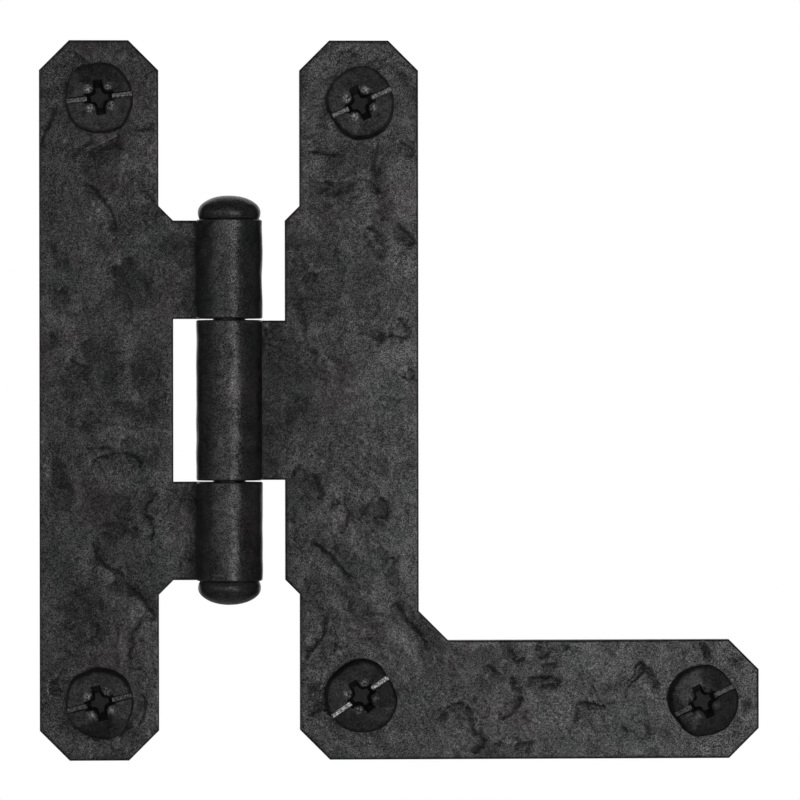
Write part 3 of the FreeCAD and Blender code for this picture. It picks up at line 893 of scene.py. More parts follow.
def at_hole(spots, holes, reach):
    """Which spots lie at a screw hole's edge, and the nearest point of that edge."""
    close = np.zeros(len(spots), bool)
    target = spots.copy()
    for hole in holes:
        offset = spots - hole
        distance = np.linalg.norm(offset, axis=1)
        here = distance < HOLE_RADIUS + reach
        close |= here
        target[here] = hole + offset[here] / distance[here, None] * HOLE_RADIUS
    return close, target


def draw_out_rim(previous, following, place_y, hold, holes, marks):
    """Extrudes the open edge of the sheet to its next ring, which lies on another outline."""
    mesh = bpy.context.edit_object.data
    bpy.ops.mesh.extrude_edges_move()
    form = bmesh.from_edit_mesh(mesh)
    moved = [corner for corner in form.verts if corner.select]
    spots = np.array([(corner.co.x, corner.co.z) for corner in moved])
    edge, share = along_blank(spots, previous)
    starts, ends = following[edge], np.roll(following, -1, axis=0)[edge]
    target = starts + (ends - starts) * share[:, None]
    close, _ = at_hole(spots, holes, HOLE_GRASP)
    target[close] = spots[close]
    sunk = relief(target / MM, marks) * fade_at_barrel(target) * hold * MM if hold else np.zeros(len(spots))
    for corner, (x, z), deep in zip(moved, target, sunk):
        corner.co = (x, place_y + deep, z)
    bmesh.update_edit_mesh(mesh)


TAB_BURIED, TAB_FADES_OVER = 2.4, 1.0


def fade_at_barrel(spots):
    """The relief dies away where the tab runs in under the rolled knuckle."""
    return ease((np.abs(spots[:, 0]) / MM - TAB_BURIED) / TAB_FADES_OVER)


def roll_knuckle(low, high, turn):
    """Rolls the end of a tab round the pin's axis, and cuts its lip just short of the leaf's face."""
    mesh = bpy.context.edit_object.data
    clear()
    pick_faces(
        lambda face: all(abs(corner.co.x) < SAME for corner in face.verts)
        and low < face.calc_center_median().z < high
    )
    before = len(bmesh.from_edit_mesh(mesh).faces)
    side = math.copysign(1, turn)
    bpy.ops.mesh.spin(
        steps=KNUCKLE_STEPS, angle=turn, center=(0, -BARREL_RADIUS, 0), axis=(0, 0, 1), use_auto_merge=False
    )
    form = bmesh.from_edit_mesh(mesh)
    form.faces.index_update()
    kept = before - 1

    def at_lip(face):
        middle = face.calc_center_median()
        return face.index >= kept and middle.x * side > 0 and middle.y > -BARREL_RADIUS

    clear()
    pick_faces(at_lip)
    bpy.ops.mesh.bisect(
        plane_co=(0, -SHEET - SEAM_GAP, 0),
        plane_no=(0, 1, 0),
        use_fill=True,
        clear_outer=True,
        threshold=WELD,
    )


def forged_leaf(name, blank, holes, tabs, turn, marks, shades):
    """One leaf, from its flat blank to its forged face, sheared edges and rolled knuckles."""
    blank, holes = np.array(blank), np.array(holes)
    face_edge = inset_blank(blank, FRONT_RIM)
    leaf = ruled_sheet(name, ruled(face_edge[:, 0]), ruled(face_edge[:, 1]))
    begin(leaf)
    cut_sloping_edges(face_edge)
    drop_waste(face_edge, holes)
    end()
    points = points_of(leaf)
    close, target = at_hole(points[:, [0, 2]], holes, HOLE_SNAP)
    points[close, 0], points[close, 2] = target[close, 0], target[close, 1]
    spots = points[:, [0, 2]]
    points[:, 1] += relief(spots / MM, marks) * fade_at_barrel(spots) * MM
    set_points(leaf, points)

    begin(leaf, "EDGE")
    pick_edges(lambda edge: edge.is_boundary)
    rings = [
        (FRONT_RIM * (1 - math.sin(turned)), -SHEET + FRONT_RIM * (1 - math.cos(turned)), math.cos(turned))
        for turned in np.radians(RIM_TURNS)
    ]
    side_from, side_to = -SHEET + FRONT_RIM, -BACK_RIM
    rings += [(0, side_from + (side_to - side_from) * row / SIDE_ROWS, 0) for row in range(1, SIDE_ROWS + 1)]
    rings.append((BACK_RIM, 0, 0))
    previous = face_edge
    for amount, place_y, hold in rings:
        following = inset_blank(blank, amount)
        draw_out_rim(previous, following, place_y, hold, holes, marks)
        previous = following
    bpy.ops.mesh.fill(use_beauty=False)
    for low, high in tabs:
        roll_knuckle(low, high, turn)
    end()
    dent_barrel(leaf, math.copysign(1, turn))
    close_up(leaf)
    store_painted_shade(leaf, painted_shade_and_tone(points_of(leaf)[:, [0, 2]] / MM, marks, shades))
    return leaf


# Dents of the rolled knuckles in millimetres, with a bulge here and there down their sides, and how
# far in from the barrel's outside its rims reach
BARREL_SKIN = 1.1 * FRONT_RIM
KNUCKLE_DENT_LEVEL = 0.07
KNUCKLE_DENTS = ((0.07, 4.2, 12.0), (0.055, 1.8, 17.0), (0.016, 0.8, 19.0))
DENTS_UP_TO, DENTS_FADE_OVER = 0.6, 0.4
BULGES_FROM, BULGES_GROW_OVER = 0.7, 0.3
BULGE_LEVEL = 0.02
BULGES = ((0.1, 2.8, 25.0),)


def dent_barrel(leaf, side):
    """Gives the rolled knuckles the shallow unevenness of hand rolling."""
    points = points_of(leaf)
    away = points[:, :2] - (0, -BARREL_RADIUS)
    radius = np.linalg.norm(away, axis=1)
    rolled = (radius > BARREL_RADIUS - BARREL_SKIN) & (radius < BARREL_RADIUS + HAIR)
    rolled &= (points[:, 0] * side < 0) | (points[:, 1] < -SHEET - SEAM_GAP / 2)
    arc = np.arctan2(away[rolled, 0], -away[rolled, 1]) * BARREL_RADIUS / MM
    up = points[rolled, 2] / MM
    sideways = np.abs(away[rolled, 0]) / BARREL_RADIUS
    dent = KNUCKLE_DENT_LEVEL + waves(arc, up, KNUCKLE_DENTS)
    dent *= 1 - ease((sideways - DENTS_UP_TO) / DENTS_FADE_OVER)
    bulge = ease((sideways - BULGES_FROM) / BULGES_GROW_OVER) * (BULGE_LEVEL + waves(arc, up, BULGES))
    scale = 1 - (np.clip(dent, 0, None) - bulge) * MM / BARREL_RADIUS
    points[rolled, 0] = away[rolled, 0] * scale
    points[rolled, 1] = away[rolled, 1] * scale - BARREL_RADIUS
    set_points(leaf, points)


# Turned pieces: rings are drawn out of one circle along an axis
def turned_piece(name, centre, axis, segments, profile):
    """A closed turned form: the profile gives each ring's radius and its place along the axis."""
    centre, axis = Vector(centre), Vector(axis)
    radius, place = profile[0]
    piece = make(
        name,
        bpy.ops.mesh.primitive_circle_add,
        vertices=segments,
        radius=radius,
        fill_type="NGON",
        location=centre + axis * place,
        rotation=Vector((0, 0, 1)).rotation_difference(axis).to_euler(),
    )
    settle(piece)
    begin(piece, "EDGE")
    pick_edges(lambda edge: edge.is_boundary)
    for next_radius, next_place in profile[1:]:
        bpy.ops.mesh.extrude_edges_move()
        bpy.ops.transform.translate(value=axis * (next_place - place))
        ratio = next_radius / radius
        middle = centre + axis * next_place
        bpy.ops.transform.resize(value=(ratio, ratio, ratio), center_override=middle)
        radius, place = next_radius, next_place
    bpy.ops.mesh.edge_face_add()
    end()
    return piece


# Hinge pin, headed at the top and riveted over at the foot. Its heads are dented by noise, given by
# its height in millimetres and then the size of its lumps and its seed.
PIN_SEGMENTS = 96
DOME_TURNS = np.arange(4, 91, 4.3)
BELLY_TURNS = (18, 36, 54, 72, 90)
HEAD_CLEAR = 0.1 * MM
CROWN_DENT, CROWN_LUMPS = 0.035, (2.0, 4.0)
FINE_DENT, FINE_LUMPS = 0.01, (0.8, 8.0)
SIDE_DENT, SIDE_LUMPS = 0.02, (1.6, 6.0)
SIDE_DENTS_FROM, SIDE_DENTS_OVER = 2, 1.5


def head_profile(sign):
    """From the crown of one pin head to its underside: an oval dome over a short belly."""
    belly_place = HALF_BARREL + PIN_HEAD_BELLY
    dome = pin_high.z - belly_place
    rings = [
        (PIN_HEAD_RADIUS * math.sin(turned), sign * (belly_place + dome * math.cos(turned)))
        for turned in np.radians(DOME_TURNS)
    ]
    rings += [
        (
            PIN_HEAD_RADIUS - PIN_HEAD_UNDERCUT * (1 - math.cos(turned)),
            sign * (belly_place - PIN_HEAD_BELLY * math.sin(turned)),
        )
        for turned in np.radians(BELLY_TURNS)
    ]
    return rings


def hinge_pin():
    top, foot = head_profile(1), head_profile(-1)
    profile = top + [(PIN_RADIUS, HALF_BARREL), (PIN_RADIUS, -HALF_BARREL)] + foot[::-1]
    pin = turned_piece("hinge_pin_headed", (0, -BARREL_RADIUS, 0), (0, 0, 1), PIN_SEGMENTS, profile)
    points = points_of(pin)
    head = np.abs(points[:, 2]) > HALF_BARREL + HEAD_CLEAR
    away = points[head, :2] - (0, -BARREL_RADIUS)
    around = np.arctan2(away[:, 1], away[:, 0]) * PIN_HEAD_RADIUS / MM
    up = points[head, 2] / MM
    x, y = away.T / MM
    dent = CROWN_DENT * (1 + wander(x, y + up, *CROWN_LUMPS))
    dent += FINE_DENT * wander(x + up, y, *FINE_LUMPS)
    on_side = ease((np.hypot(x, y) - SIDE_DENTS_FROM) / SIDE_DENTS_OVER)
    dent += SIDE_DENT * (1 + wander(around, up, *SIDE_LUMPS)) * on_side
    scale = 1 - dent * MM / PIN_HEAD_RADIUS
    points[head, 0] = away[:, 0] * scale
    points[head, 1] = away[:, 1] * scale - BARREL_RADIUS
    points[head, 2] = np.sign(up) * (np.abs(points[head, 2]) - 0.5 * dent * MM)
    set_points(pin, points)
    close_up(pin)
    return pin


# Screws: number 8 wood screws with hammered heads, each with a slot across a cross recess. From the
# middle of the face outwards, the head's rings are shares of its radius.
SCREW_SEGMENTS = 96
HEAD_HEIGHT = 2.2 * MM
HEAD_WALL = 1.4 * MM
HEAD_UNDERCUT = 0.15 * MM
HEAD_TOP = -SHEET - HEAD_HEIGHT + 0.04 * MM
CROWN_FALL = 0.12 * MM
FACE_FROM, FACE_TO, FACE_RINGS = 0.06, 0.95, 14
EDGE_SHARE = 0.038
EDGE_TURNS = (22, 45, 68, 90)
WALL_RINGS = ((0.992, 0.45 * MM), (1, 0.95 * MM))
WALL_FOOT = 0.25 * MM
UNDERSIDE_RIM, UNDERSIDE_NECK = 0.1 * MM, 0.08 * MM
NECK_RADIUS = 1.85 * MM
NECK_PAST_LEAF = 0.3 * MM
NECK_TAPER = 0.5 * MM
POINT_LENGTH = 4.5 * MM
POINT_RADIUS = 0.06 * MM
POINT_RINGS = (0.35, 0.7, 1)

# The thread, drawn out in rows along the shank
THREAD_PITCH = 1.7 * MM
THREAD_CREST = 2.06 * MM
THREAD_CORE = 1.5 * MM
THREAD_ROW = 0.13 * MM
THREAD_FLANK = 0.3
THREAD_LEAD, THREAD_GROWS_OVER = 0.4 * MM, 0.9 * MM
POINT_KEEPS = 1.15
NECK_CLEAR, AXIS_CLEAR, LEAST_RADIUS = 0.05 * MM, 0.04 * MM, 0.3 * MM

# Slot and recess. The cutters stand out of the face by their lifts, and their floors are narrower.
SLOT_WIDTH = 0.88 * MM
SLOT_DEPTH = 0.7 * MM
SLOT_MOUTH, SLOT_FLOOR = 1.1, 0.6
SLOT_LIFT, SLOT_LENGTH = 0.3 * MM, 16 * MM
RECESS_ACROSS = 4.95 * MM
RECESS_ALONG = 4.3 * MM
RECESS_WING = 1.36 * MM
RECESS_DEPTH = 1.8 * MM
RECESS_FILLET = 1.25 * MM
FILLET_SEGMENTS = 6
RECESS_FLOOR = 0.5
RECESS_LIFT = 0.5 * MM
FLARE_RADIUS = 1.95 * MM
FLARE_DEPTH = 0.55 * MM
FLARE_STEEPNESS = 1.9
FLARE_LIFT = 0.4 * MM
FLARE_SEGMENTS = 48
FACES_THAT_WAY = 0.9

# How the heads are beaten: out of round from some share of the radius, with walls that lean from a
# little above the leaf, and with dimples and facets whose edges are in millimetres
HEAD_ABOVE = 0.09 * MM
BEATEN_FROM, BEATEN_OVER = 0.45, 0.5
LEAN_FROM = 0.3 * MM
WALL_DRAFT = 0.008
HEAD_UNEVEN = ((0.05, 1.1, 2.0),)
DIMPLE_LEVEL = 0.02
DIMPLES = ((0.02, 1.5, 14.0), (0.006, 0.5, 15.0))
FACET_SOFT = 0.22

# For each screw: the turn of its slot in degrees, the plain radius of its head in millimetres, the
# bulges and flats of its hammered outline (direction in degrees, height and width), where its lean
# side wall shows (direction and shift), its hammered facets (direction, start in millimetres from
# the middle, slope, and painted shade, which is painted highlight below 0), how bright the steel in
# its slot is, as painted light that differs from screw to screw, and how bright the corners of its
# recess are
SCREWS = {
    "strap_top": {
        "turn": 7.0,
        "radius": 4.15,
        "bulges": ((130, 0.5, 22), (75, 0.25, 25), (-55, 0.42, 22), (-95, 0.2, 20), (-130, 0.36, 20)),
        "lean": (0, 0.02),
        "facets": ((68, 0.9, 0.06, 0.55), (-80, 2.0, 0.08, 0.1), (190, 2.2, 0.05, -0.1), (8, 1.9, 0.08, 0.4)),
        "steel": 0.09,
        "rubbed": 0.34,
    },
    "strap_bottom": {
        "turn": 13.6,
        "radius": 4.15,
        "bulges": ((140, 0.28, 20), (85, 0.16, 22), (45, 0.2, 25), (-52, 0.42, 18), (-78, 0.28, 16)),
        "lean": (92, 0.26),
        "facets": (
            (62, 1.9, 0.10, 0.35), (165, 1.6, 0.04, -0.2), (-72, 1.9, 0.12, 0.65), (-8, 1.9, 0.08, 0.3),
        ),
        "steel": 0.05,
        "rubbed": 0.24,
    },
    "angle_top": {
        "turn": 25.0,
        "radius": 4.22,
        "bulges": ((80, 0.36, 26), (-33, 0.18, 18), (-60, 0.22, 18), (-92, 0.28, 18), (-148, -0.34, 22)),
        "lean": (-98, 0.20),
        "facets": (
            (84, 1.4, 0.06, 0.15), (-155, 1.0, 0.03, -0.25), (-25, 1.1, 0.08, 0.5), (20, 2.0, 0.10, 0.3),
        ),
        "steel": 0.11,
        "rubbed": 0.34,
    },
    "angle_corner": {
        "turn": 35.0,
        "radius": 4.48,
        "bulges": ((130, -0.2, 15), (82, 0.12, 15), (38, -0.42, 16), (14, -0.3, 12), (-50, 0.12, 22)),
        "lean": (125, 0.20),
        "facets": (
            (160, 1.5, 0.04, 0.1), (80, 1.4, 0.10, 0.5), (-15, 0.5, 0.10, 0.8), (-85, 1.6, 0.08, 0.55),
        ),
        "steel": 0.24,
        "rubbed": 0.24,
    },
    "angle_toe": {
        "turn": 26.0,
        "radius": 4.34,
        "bulges": (
            (77, 0.2, 14), (38, -0.2, 16), (-53, 0.14, 12),
            (-100, 0.15, 14), (-142, -0.42, 18), (-172, -0.12, 10),
        ),
        "lean": (188, 0.22),
        "facets": (
            (28, 1.0, 0.16, 0.55), (150, 2.0, 0.04, 0.1), (-40, 1.2, 0.16, 0.6), (205, 2.6, 0.10, 0.4),
        ),
        "steel": 0.035,
        "rubbed": 0.08,
    },
}


def from_middle(points, middle):
    """How far each point lies across and up from a screw's middle."""
    return points[:, 0] - middle[0], points[:, 2] - middle[1]


def turned_by(x, z, turn):
    """The same places, measured along a turned direction and square to it."""
    return x * math.cos(turn) + z * math.sin(turn), z * math.cos(turn) - x * math.sin(turn)


def screw_profile(radius, tip):
    """From the middle of the face, over the rim and down the shank to the point."""
    crown, rim = -SHEET - HEAD_HEIGHT, -SHEET - HEAD_WALL
    shares = np.linspace(FACE_FROM, FACE_TO, FACE_RINGS)
    face = [(share * radius, crown + CROWN_FALL * share**2) for share in shares]
    edge_from = face[-1][1]
    edge = [
        (radius * (FACE_TO + EDGE_SHARE * math.sin(turned)), rim - (rim - edge_from) * math.cos(turned))
        for turned in np.radians(EDGE_TURNS)
    ]
    wall = [(radius * share, rim + place) for share, place in WALL_RINGS]
    wall.append((radius, -SHEET - WALL_FOOT))
    underside = [(radius - HEAD_UNDERCUT, -SHEET - UNDERSIDE_RIM), (NECK_RADIUS, -SHEET - UNDERSIDE_NECK)]
    neck = [(NECK_RADIUS, NECK_PAST_LEAF), (THREAD_CORE, NECK_PAST_LEAF + NECK_TAPER)]
    point = [
        (THREAD_CORE * (1 - share) + POINT_RADIUS * share, tip - POINT_LENGTH * (1 - share))
        for share in (0, *POINT_RINGS)
    ]
    return face + edge + wall + underside + neck + point


def hammer_head(screw, middle, radius, bulges, lean, facets):
    """Beats a turned head out of round, leans its wall and beats facets into its face."""
    points = points_of(screw)
    x, z = from_middle(points, middle)
    head = points[:, 1] < -SHEET - HEAD_ABOVE
    reach = np.hypot(x, z)
    angle = np.degrees(np.arctan2(z, x))
    stretch = np.zeros(len(points))
    for direction, height, width in bulges:
        stretch += height * bell((angle - direction + 180) % 360 - 180, width)
    stretch += waves(x / MM, z / MM, HEAD_UNEVEN)
    grown = 1 + stretch * MM / radius * ease((reach / radius - BEATEN_FROM) / BEATEN_OVER)
    rise = ease((-SHEET - LEAN_FROM - points[:, 1]) / HEAD_WALL)
    drawn_in = grown * (1 - WALL_DRAFT * rise)
    lean_direction, lean_shift = math.radians(lean[0]), lean[1] * MM * rise
    x = np.where(head, x * drawn_in - math.cos(lean_direction) * lean_shift, x)
    z = np.where(head, z * drawn_in - math.sin(lean_direction) * lean_shift, z)
    beaten = np.zeros(len(points))
    for direction, start, slope, _ in facets:
        beyond = turned_by(x, z, math.radians(direction))[0] / MM - start
        beaten = np.maximum(beaten, slope * np.clip(beyond, 0, None))
    dimples = DIMPLE_LEVEL + waves(x / MM, z / MM, DIMPLES)
    on_face = points[:, 1] < -SHEET - HEAD_WALL
    points[:, 1] += np.where(on_face, (beaten + dimples) * MM, 0)
    points[:, 0], points[:, 2] = middle[0] + x, middle[1] + z
    set_points(screw, points)


def cut_away(piece, cutter):
    """Cuts the form of a cutter out of a piece, and removes the cutter."""
    take(piece)
    cut = piece.modifiers.new("cut", "BOOLEAN")
    cut.operation = "DIFFERENCE"
    cut.solver = "EXACT"
    cut.object = cutter
    bpy.ops.object.modifier_apply(modifier=cut.name)
    bpy.data.objects.remove(cutter)


def slot_cutter(middle, turn):
    floor = HEAD_TOP + SLOT_DEPTH
    deep = SLOT_DEPTH + SLOT_LIFT
    cutter = make(
        "slot_cutter",
        bpy.ops.mesh.primitive_cube_add,
        size=1,
        location=(middle[0], floor - deep / 2, middle[1]),
        rotation=(0, -turn, 0),
        scale=(SLOT_LENGTH, deep, SLOT_WIDTH * SLOT_MOUTH),
    )
    settle(cutter)
    begin(cutter)
    pick_faces(lambda face: abs(face.calc_center_median().y - floor) < HAIR)
    bpy.ops.transform.resize(value=(SLOT_FLOOR, 1, SLOT_FLOOR), center_override=(middle[0], floor, middle[1]))
    end()
    return cutter


def recess_cutter(middle, turn):
    """A cross with tapered wings and rounded inner corners, drawn out of a square core."""
    depth = RECESS_DEPTH + RECESS_LIFT
    core = (RECESS_WING, depth, RECESS_WING)
    cutter = make("recess_cutter", bpy.ops.mesh.primitive_cube_add, size=1, scale=core)
    settle(cutter)
    begin(cutter)
    half = RECESS_WING / 2
    for outward, span in (
        (Vector((1, 0, 0)), RECESS_ALONG),
        (Vector((-1, 0, 0)), RECESS_ALONG),
        (Vector((0, 0, 1)), RECESS_ACROSS),
        (Vector((0, 0, -1)), RECESS_ACROSS),
    ):
        clear()
        pick_faces(lambda face: (face.calc_center_median() - outward * half).length < HAIR)
        bpy.ops.mesh.extrude_region_move(
            TRANSFORM_OT_translate={"value": outward * (span - RECESS_WING) / 2}
        )
    for side in (-1, 1):
        clear()
        pick_faces(lambda face: face.normal.y * side > FACES_THAT_WAY)
        bpy.ops.mesh.dissolve_faces()
    clear("EDGE")

    def inner_corner(edge):
        between = (edge.verts[0].co + edge.verts[1].co) / 2
        upright = abs(edge.verts[0].co.y - edge.verts[1].co.y) > depth / 2
        return upright and abs(abs(between.x) - half) < SAME and abs(abs(between.z) - half) < SAME

    pick_edges(inner_corner)
    bpy.ops.mesh.bevel(offset=RECESS_FILLET, segments=FILLET_SEGMENTS, affect="EDGES")
    clear()
    pick_faces(lambda face: face.normal.y > FACES_THAT_WAY)
    bpy.ops.transform.resize(value=(RECESS_FLOOR, 1, RECESS_FLOOR), center_override=(0, depth / 2, 0))
    end()
    cutter.location = (middle[0], HEAD_TOP + RECESS_DEPTH - depth / 2, middle[1])
    cutter.rotation_euler = (0, -turn, 0)
    settle(cutter)
    return cutter


def flare_cutter(middle):
    """The shallow cone that opens the recess between its wings."""
    slope = FLARE_RADIUS / (FLARE_DEPTH * FLARE_STEEPNESS)
    cutter = make(
        "flare_cutter",
        bpy.ops.mesh.primitive_cone_add,
        vertices=FLARE_SEGMENTS,
        radius1=FLARE_RADIUS + FLARE_LIFT * slope,
        radius2=FLARE_RADIUS - FLARE_DEPTH * slope,
        depth=FLARE_DEPTH + FLARE_LIFT,
        location=(middle[0], HEAD_TOP + (FLARE_DEPTH - FLARE_LIFT) / 2, middle[1]),
        rotation=(-math.pi / 2, 0, 0),
    )
    settle(cutter)
    return cutter


def cut_thread(screw, middle, tip):
    """Draws the helical thread out of the plain shank."""
    start = NECK_PAST_LEAF + NECK_TAPER
    begin(screw, "EDGE")

    def span(edge):
        return sorted(corner.co.y for corner in edge.verts)

    def along_shank(edge):
        low, high = span(edge)
        return low > NECK_PAST_LEAF - SAME and high - low > THREAD_ROW * 3

    stretches = {}
    for edge in bmesh.from_edit_mesh(screw.data).edges:
        if along_shank(edge):
            low, high = span(edge)
            stretches[round(low / MM, 3)] = high - low
    for place, length in stretches.items():
        clear("EDGE")
        pick_edges(lambda edge: along_shank(edge) and abs(span(edge)[0] - place * MM) < 2 * SAME)
        bpy.ops.mesh.subdivide(number_cuts=max(1, round(length / THREAD_ROW) - 1))
    end()
    points = points_of(screw)
    x, z = from_middle(points, middle)
    y = points[:, 1]
    radius = np.hypot(x, z)
    turn = np.arctan2(z, x) / (2 * math.pi)
    phase = (y / THREAD_PITCH + turn) % 1
    crest = np.clip(1 - np.abs(phase - 0.5) / THREAD_FLANK, 0, 1)
    fade = ease((y - start + THREAD_LEAD) / THREAD_GROWS_OVER)
    fade *= np.clip((tip - y) / POINT_LENGTH * POINT_KEEPS, 0, 1)
    taller = (THREAD_CREST - THREAD_CORE) * crest * fade / np.maximum(radius, LEAST_RADIUS)
    threaded = (y > NECK_PAST_LEAF + NECK_CLEAR) & (radius > AXIS_CLEAR)
    grown = np.where(threaded, 1 + taller, 1)
    points[:, 0], points[:, 2] = middle[0] + x * grown, middle[1] + z * grown
    set_points(screw, points)


def plan_map(screw, middle, turn):
    """Lays a flat plan over the screw, in millimetres from its middle with the slot along U."""
    x, z = from_middle(points_of(screw), middle)
    plan = np.column_stack(turned_by(x / MM, z / MM, turn))
    corners = np.empty(len(screw.data.loops), int)
    screw.data.loops.foreach_get("vertex_index", corners)
    layer = screw.data.uv_layers.new(name="head_plan")
    layer.data.foreach_set("uv", plan[corners].astype(np.float32).ravel())


def tint_facets(screw, middle, facets):
    """The painted shade, or painted highlight below 0, of each beaten facet of the head, on the screw's
    points.
    """
    x, z = from_middle(points_of(screw), middle)
    dull = np.zeros(len(x))
    for direction, start, _, amount in facets:
        beyond = turned_by(x / MM, z / MM, math.radians(direction))[0] - start
        share = ease(beyond / FACET_SOFT + 0.5)
        dull = dull * (1 - share) + amount * share
    store_painted_shade(screw, dull)


def wood_screw(name, middle, made):
    """One screw, turned, hammered, slotted and threaded."""
    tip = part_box("screw_" + name)[1].y
    radius, turn = made["radius"] * MM, math.radians(made["turn"])
    centre, profile = (middle[0], 0, middle[1]), screw_profile(radius, tip)
    screw = turned_piece("screw_" + name + "_hammered", centre, (0, 1, 0), SCREW_SEGMENTS, profile)
    hammer_head(screw, middle, radius, made["bulges"], made["lean"], made["facets"])
    cut_away(screw, flare_cutter(middle))
    cut_away(screw, recess_cutter(middle, turn))
    cut_away(screw, slot_cutter(middle, turn))
    cut_thread(screw, middle, tip)
    plan_map(screw, middle, turn)
    close_up(screw)
    tint_facets(screw, middle, made["facets"])
    return screw


# Finishes. The helpers add nodes to a finish's tree and give back what comes out of them.
def new_finish(name, roughness, metallic=0.0, specular=0.5):
    finish = bpy.data.materials.new(name)
    finish.use_nodes = True
    shader = finish.node_tree.nodes["Principled BSDF"]
    shader.inputs["Roughness"].default_value = roughness
    shader.inputs["Metallic"].default_value = metallic
    shader.inputs["Specular IOR Level"].default_value = specular
    return finish, finish.node_tree, shader


def put(tree, kind, **values):
    """Adds a node and sets its inputs by name."""
    node = tree.nodes.new(kind)
    for key, value in values.items():
        node.inputs[key.replace("_", " ")].default_value = value
    return node


def on_piece(tree):
    """The place on the piece itself, in metres."""
    return tree.nodes.new("ShaderNodeTexCoord").outputs["Object"]


def on_plan(tree):
    """The place on the flat plan over a screw's head, in millimetres."""
    plan = tree.nodes.new("ShaderNodeUVMap")
    plan.uv_map = "head_plan"
    return plan.outputs["UV"]


def stored_painted_shade(tree):
    """The painted shade and highlight, as stored on the piece's points."""
    node = tree.nodes.new("ShaderNodeAttribute")
    node.attribute_name = "dull"
    return node.outputs["Fac"]


def x_and_y(tree, place):
    parts = tree.nodes.new("ShaderNodeSeparateXYZ")
    tree.links.new(place, parts.inputs["Vector"])
    return parts.outputs["X"], parts.outputs["Y"]


def lumps(tree, place, size, detail=2.0, roughness=0.5):
    """Noise with lumps of the given size in metres, from 0 to 1."""
    node = put(tree, "ShaderNodeTexNoise", Scale=1 / size, Detail=detail, Roughness=roughness)
    tree.links.new(place, node.inputs["Vector"])
    return node.outputs["Fac"]


def spread(tree, value, low, high):
    """Stretches the part of a value between low and high to 0 to 1."""
    node = put(tree, "ShaderNodeMapRange", From_Min=low, From_Max=high)
    tree.links.new(value, node.inputs["Value"])
    return node.outputs["Result"]


def grey(value):
    return value, value, value


# Where a mix node takes its two colours and gives out the mixed one
MIX_FIRST, MIX_SECOND, MIX_RESULT = 6, 7, 2


def blend_colours(tree, share, first, second):
    """Mixes two colours, each given as a colour or as another mix's output."""
    node = tree.nodes.new("ShaderNodeMix")
    node.data_type = "RGBA"
    tree.links.new(share, node.inputs["Factor"])
    for socket, colour in ((MIX_FIRST, first), (MIX_SECOND, second)):
        if isinstance(colour, tuple):
            node.inputs[socket].default_value = (*colour, 1)
        else:
            tree.links.new(colour, node.inputs[socket])
    return node.outputs[MIX_RESULT]


def raise_by(tree, height, distance, under=None):
    """A bump of the given height in metres over another one."""
    node = put(tree, "ShaderNodeBump", Distance=distance, Strength=1.0)
    tree.links.new(height, node.inputs["Height"])
    if under is not None:
        tree.links.new(under, node.inputs["Normal"])
    return node.outputs["Normal"]


def reckon(tree, operation, first, second):
    """One step of arithmetic on two values, each given as a number or as another node's output."""
    node = tree.nodes.new("ShaderNodeMath")
    node.operation = operation
    for socket, value in zip(node.inputs, (first, second)):
        if isinstance(value, (int, float)):
            socket.default_value = value
        else:
            tree.links.new(value, socket)
    return node.outputs["Value"]


def times(tree, first, second):
    return reckon(tree, "MULTIPLY", first, second)


def weighed(tree, *parts, level=0):
    """A sum of values, each given with its weight, over a level."""
    total = None
    for value, weight in parts:
        part = times(tree, value, weight)
        total = part if total is None else reckon(tree, "ADD", total, part)
    return reckon(tree, "ADD", total, level) if level else total


def left_by(tree, value, amount):
    """What is left of 1 when a share of a value is taken away."""
    return reckon(tree, "SUBTRACT", 1.0, times(tree, value, amount))


def sand(tree, place, size):
    """Grains of the given size in metres, each with its own random value from 0 to 1."""
    grains = put(tree, "ShaderNodeTexVoronoi", Scale=1 / size)
    tree.links.new(place, grains.inputs["Vector"])
    value = tree.nodes.new("ShaderNodeSeparateColor")
    tree.links.new(grains.outputs["Color"], value.inputs["Color"])
    return value.outputs["Red"]


# Powder coat. A pair of places says where something begins and where it is full.
COAT_DARK, COAT_LIGHT = (0.0015, 0.0015, 0.0016), (0.026, 0.026, 0.0264)
WARM_TINT, WARM_SIZE, WARM_PART = (0.021, 0.0145, 0.0145), 9 * MM, (0.5, 0.75)
GREEN_TINT, GREEN_SIZE, GREEN_PART = (0.0085, 0.0135, 0.0115), 6 * MM, (0.55, 0.8)
# Painted shade: the coat is painted darker and less glossy where the face lies deepest and on the sheet's
# sides, and darker or lighter by the stored painted shade and highlight
SUNK_IN_FACE, OFF_THE_BACK = (-1.80 * MM, -1.55 * MM), (-0.1 * MM, -0.4 * MM)
SUNK_BLACK, SUNK_DARKENS, SUNK_DULLS = grey(0.003), 0.5, 0.45
SHADE_BLACK, SHADE_DIMS, LIT_KEEPS = grey(0.002), 0.58, 0.67
BARREL_SIDES, PROUD_OF_FACE = (1.4 * MM, 2.8 * MM), (-2.1 * MM, -2.4 * MM)
GRAIN_SIZE, GRAIN_MEAN, GRAIN_EVENED = 0.09 * MM, 0.55, 0.5
COAT_PATCH, COAT_SPOT = (2.6 * MM, 4.0, 0.62), 0.7 * MM
MIDDLE_PART = (0.3, 0.7)
LIGHT_BY_GRAIN, LIGHT_BY_PATCH = 0.45, 0.4
SPARKLE_POWER, SPARKLE, SPARKLE_LEVEL = 1.8, 2.42, 0.16
SHEEN_BY_PATCH, SHEEN_BY_SPOT, SHEEN_LEVEL = 0.45, 0.35, 0.6
PEBBLE_SIZE, PEBBLE_HEIGHT = 0.8 * MM, 0.04 * MM
FINE_SIZE, FINE_HEIGHT = 0.8, 0.012 * MM


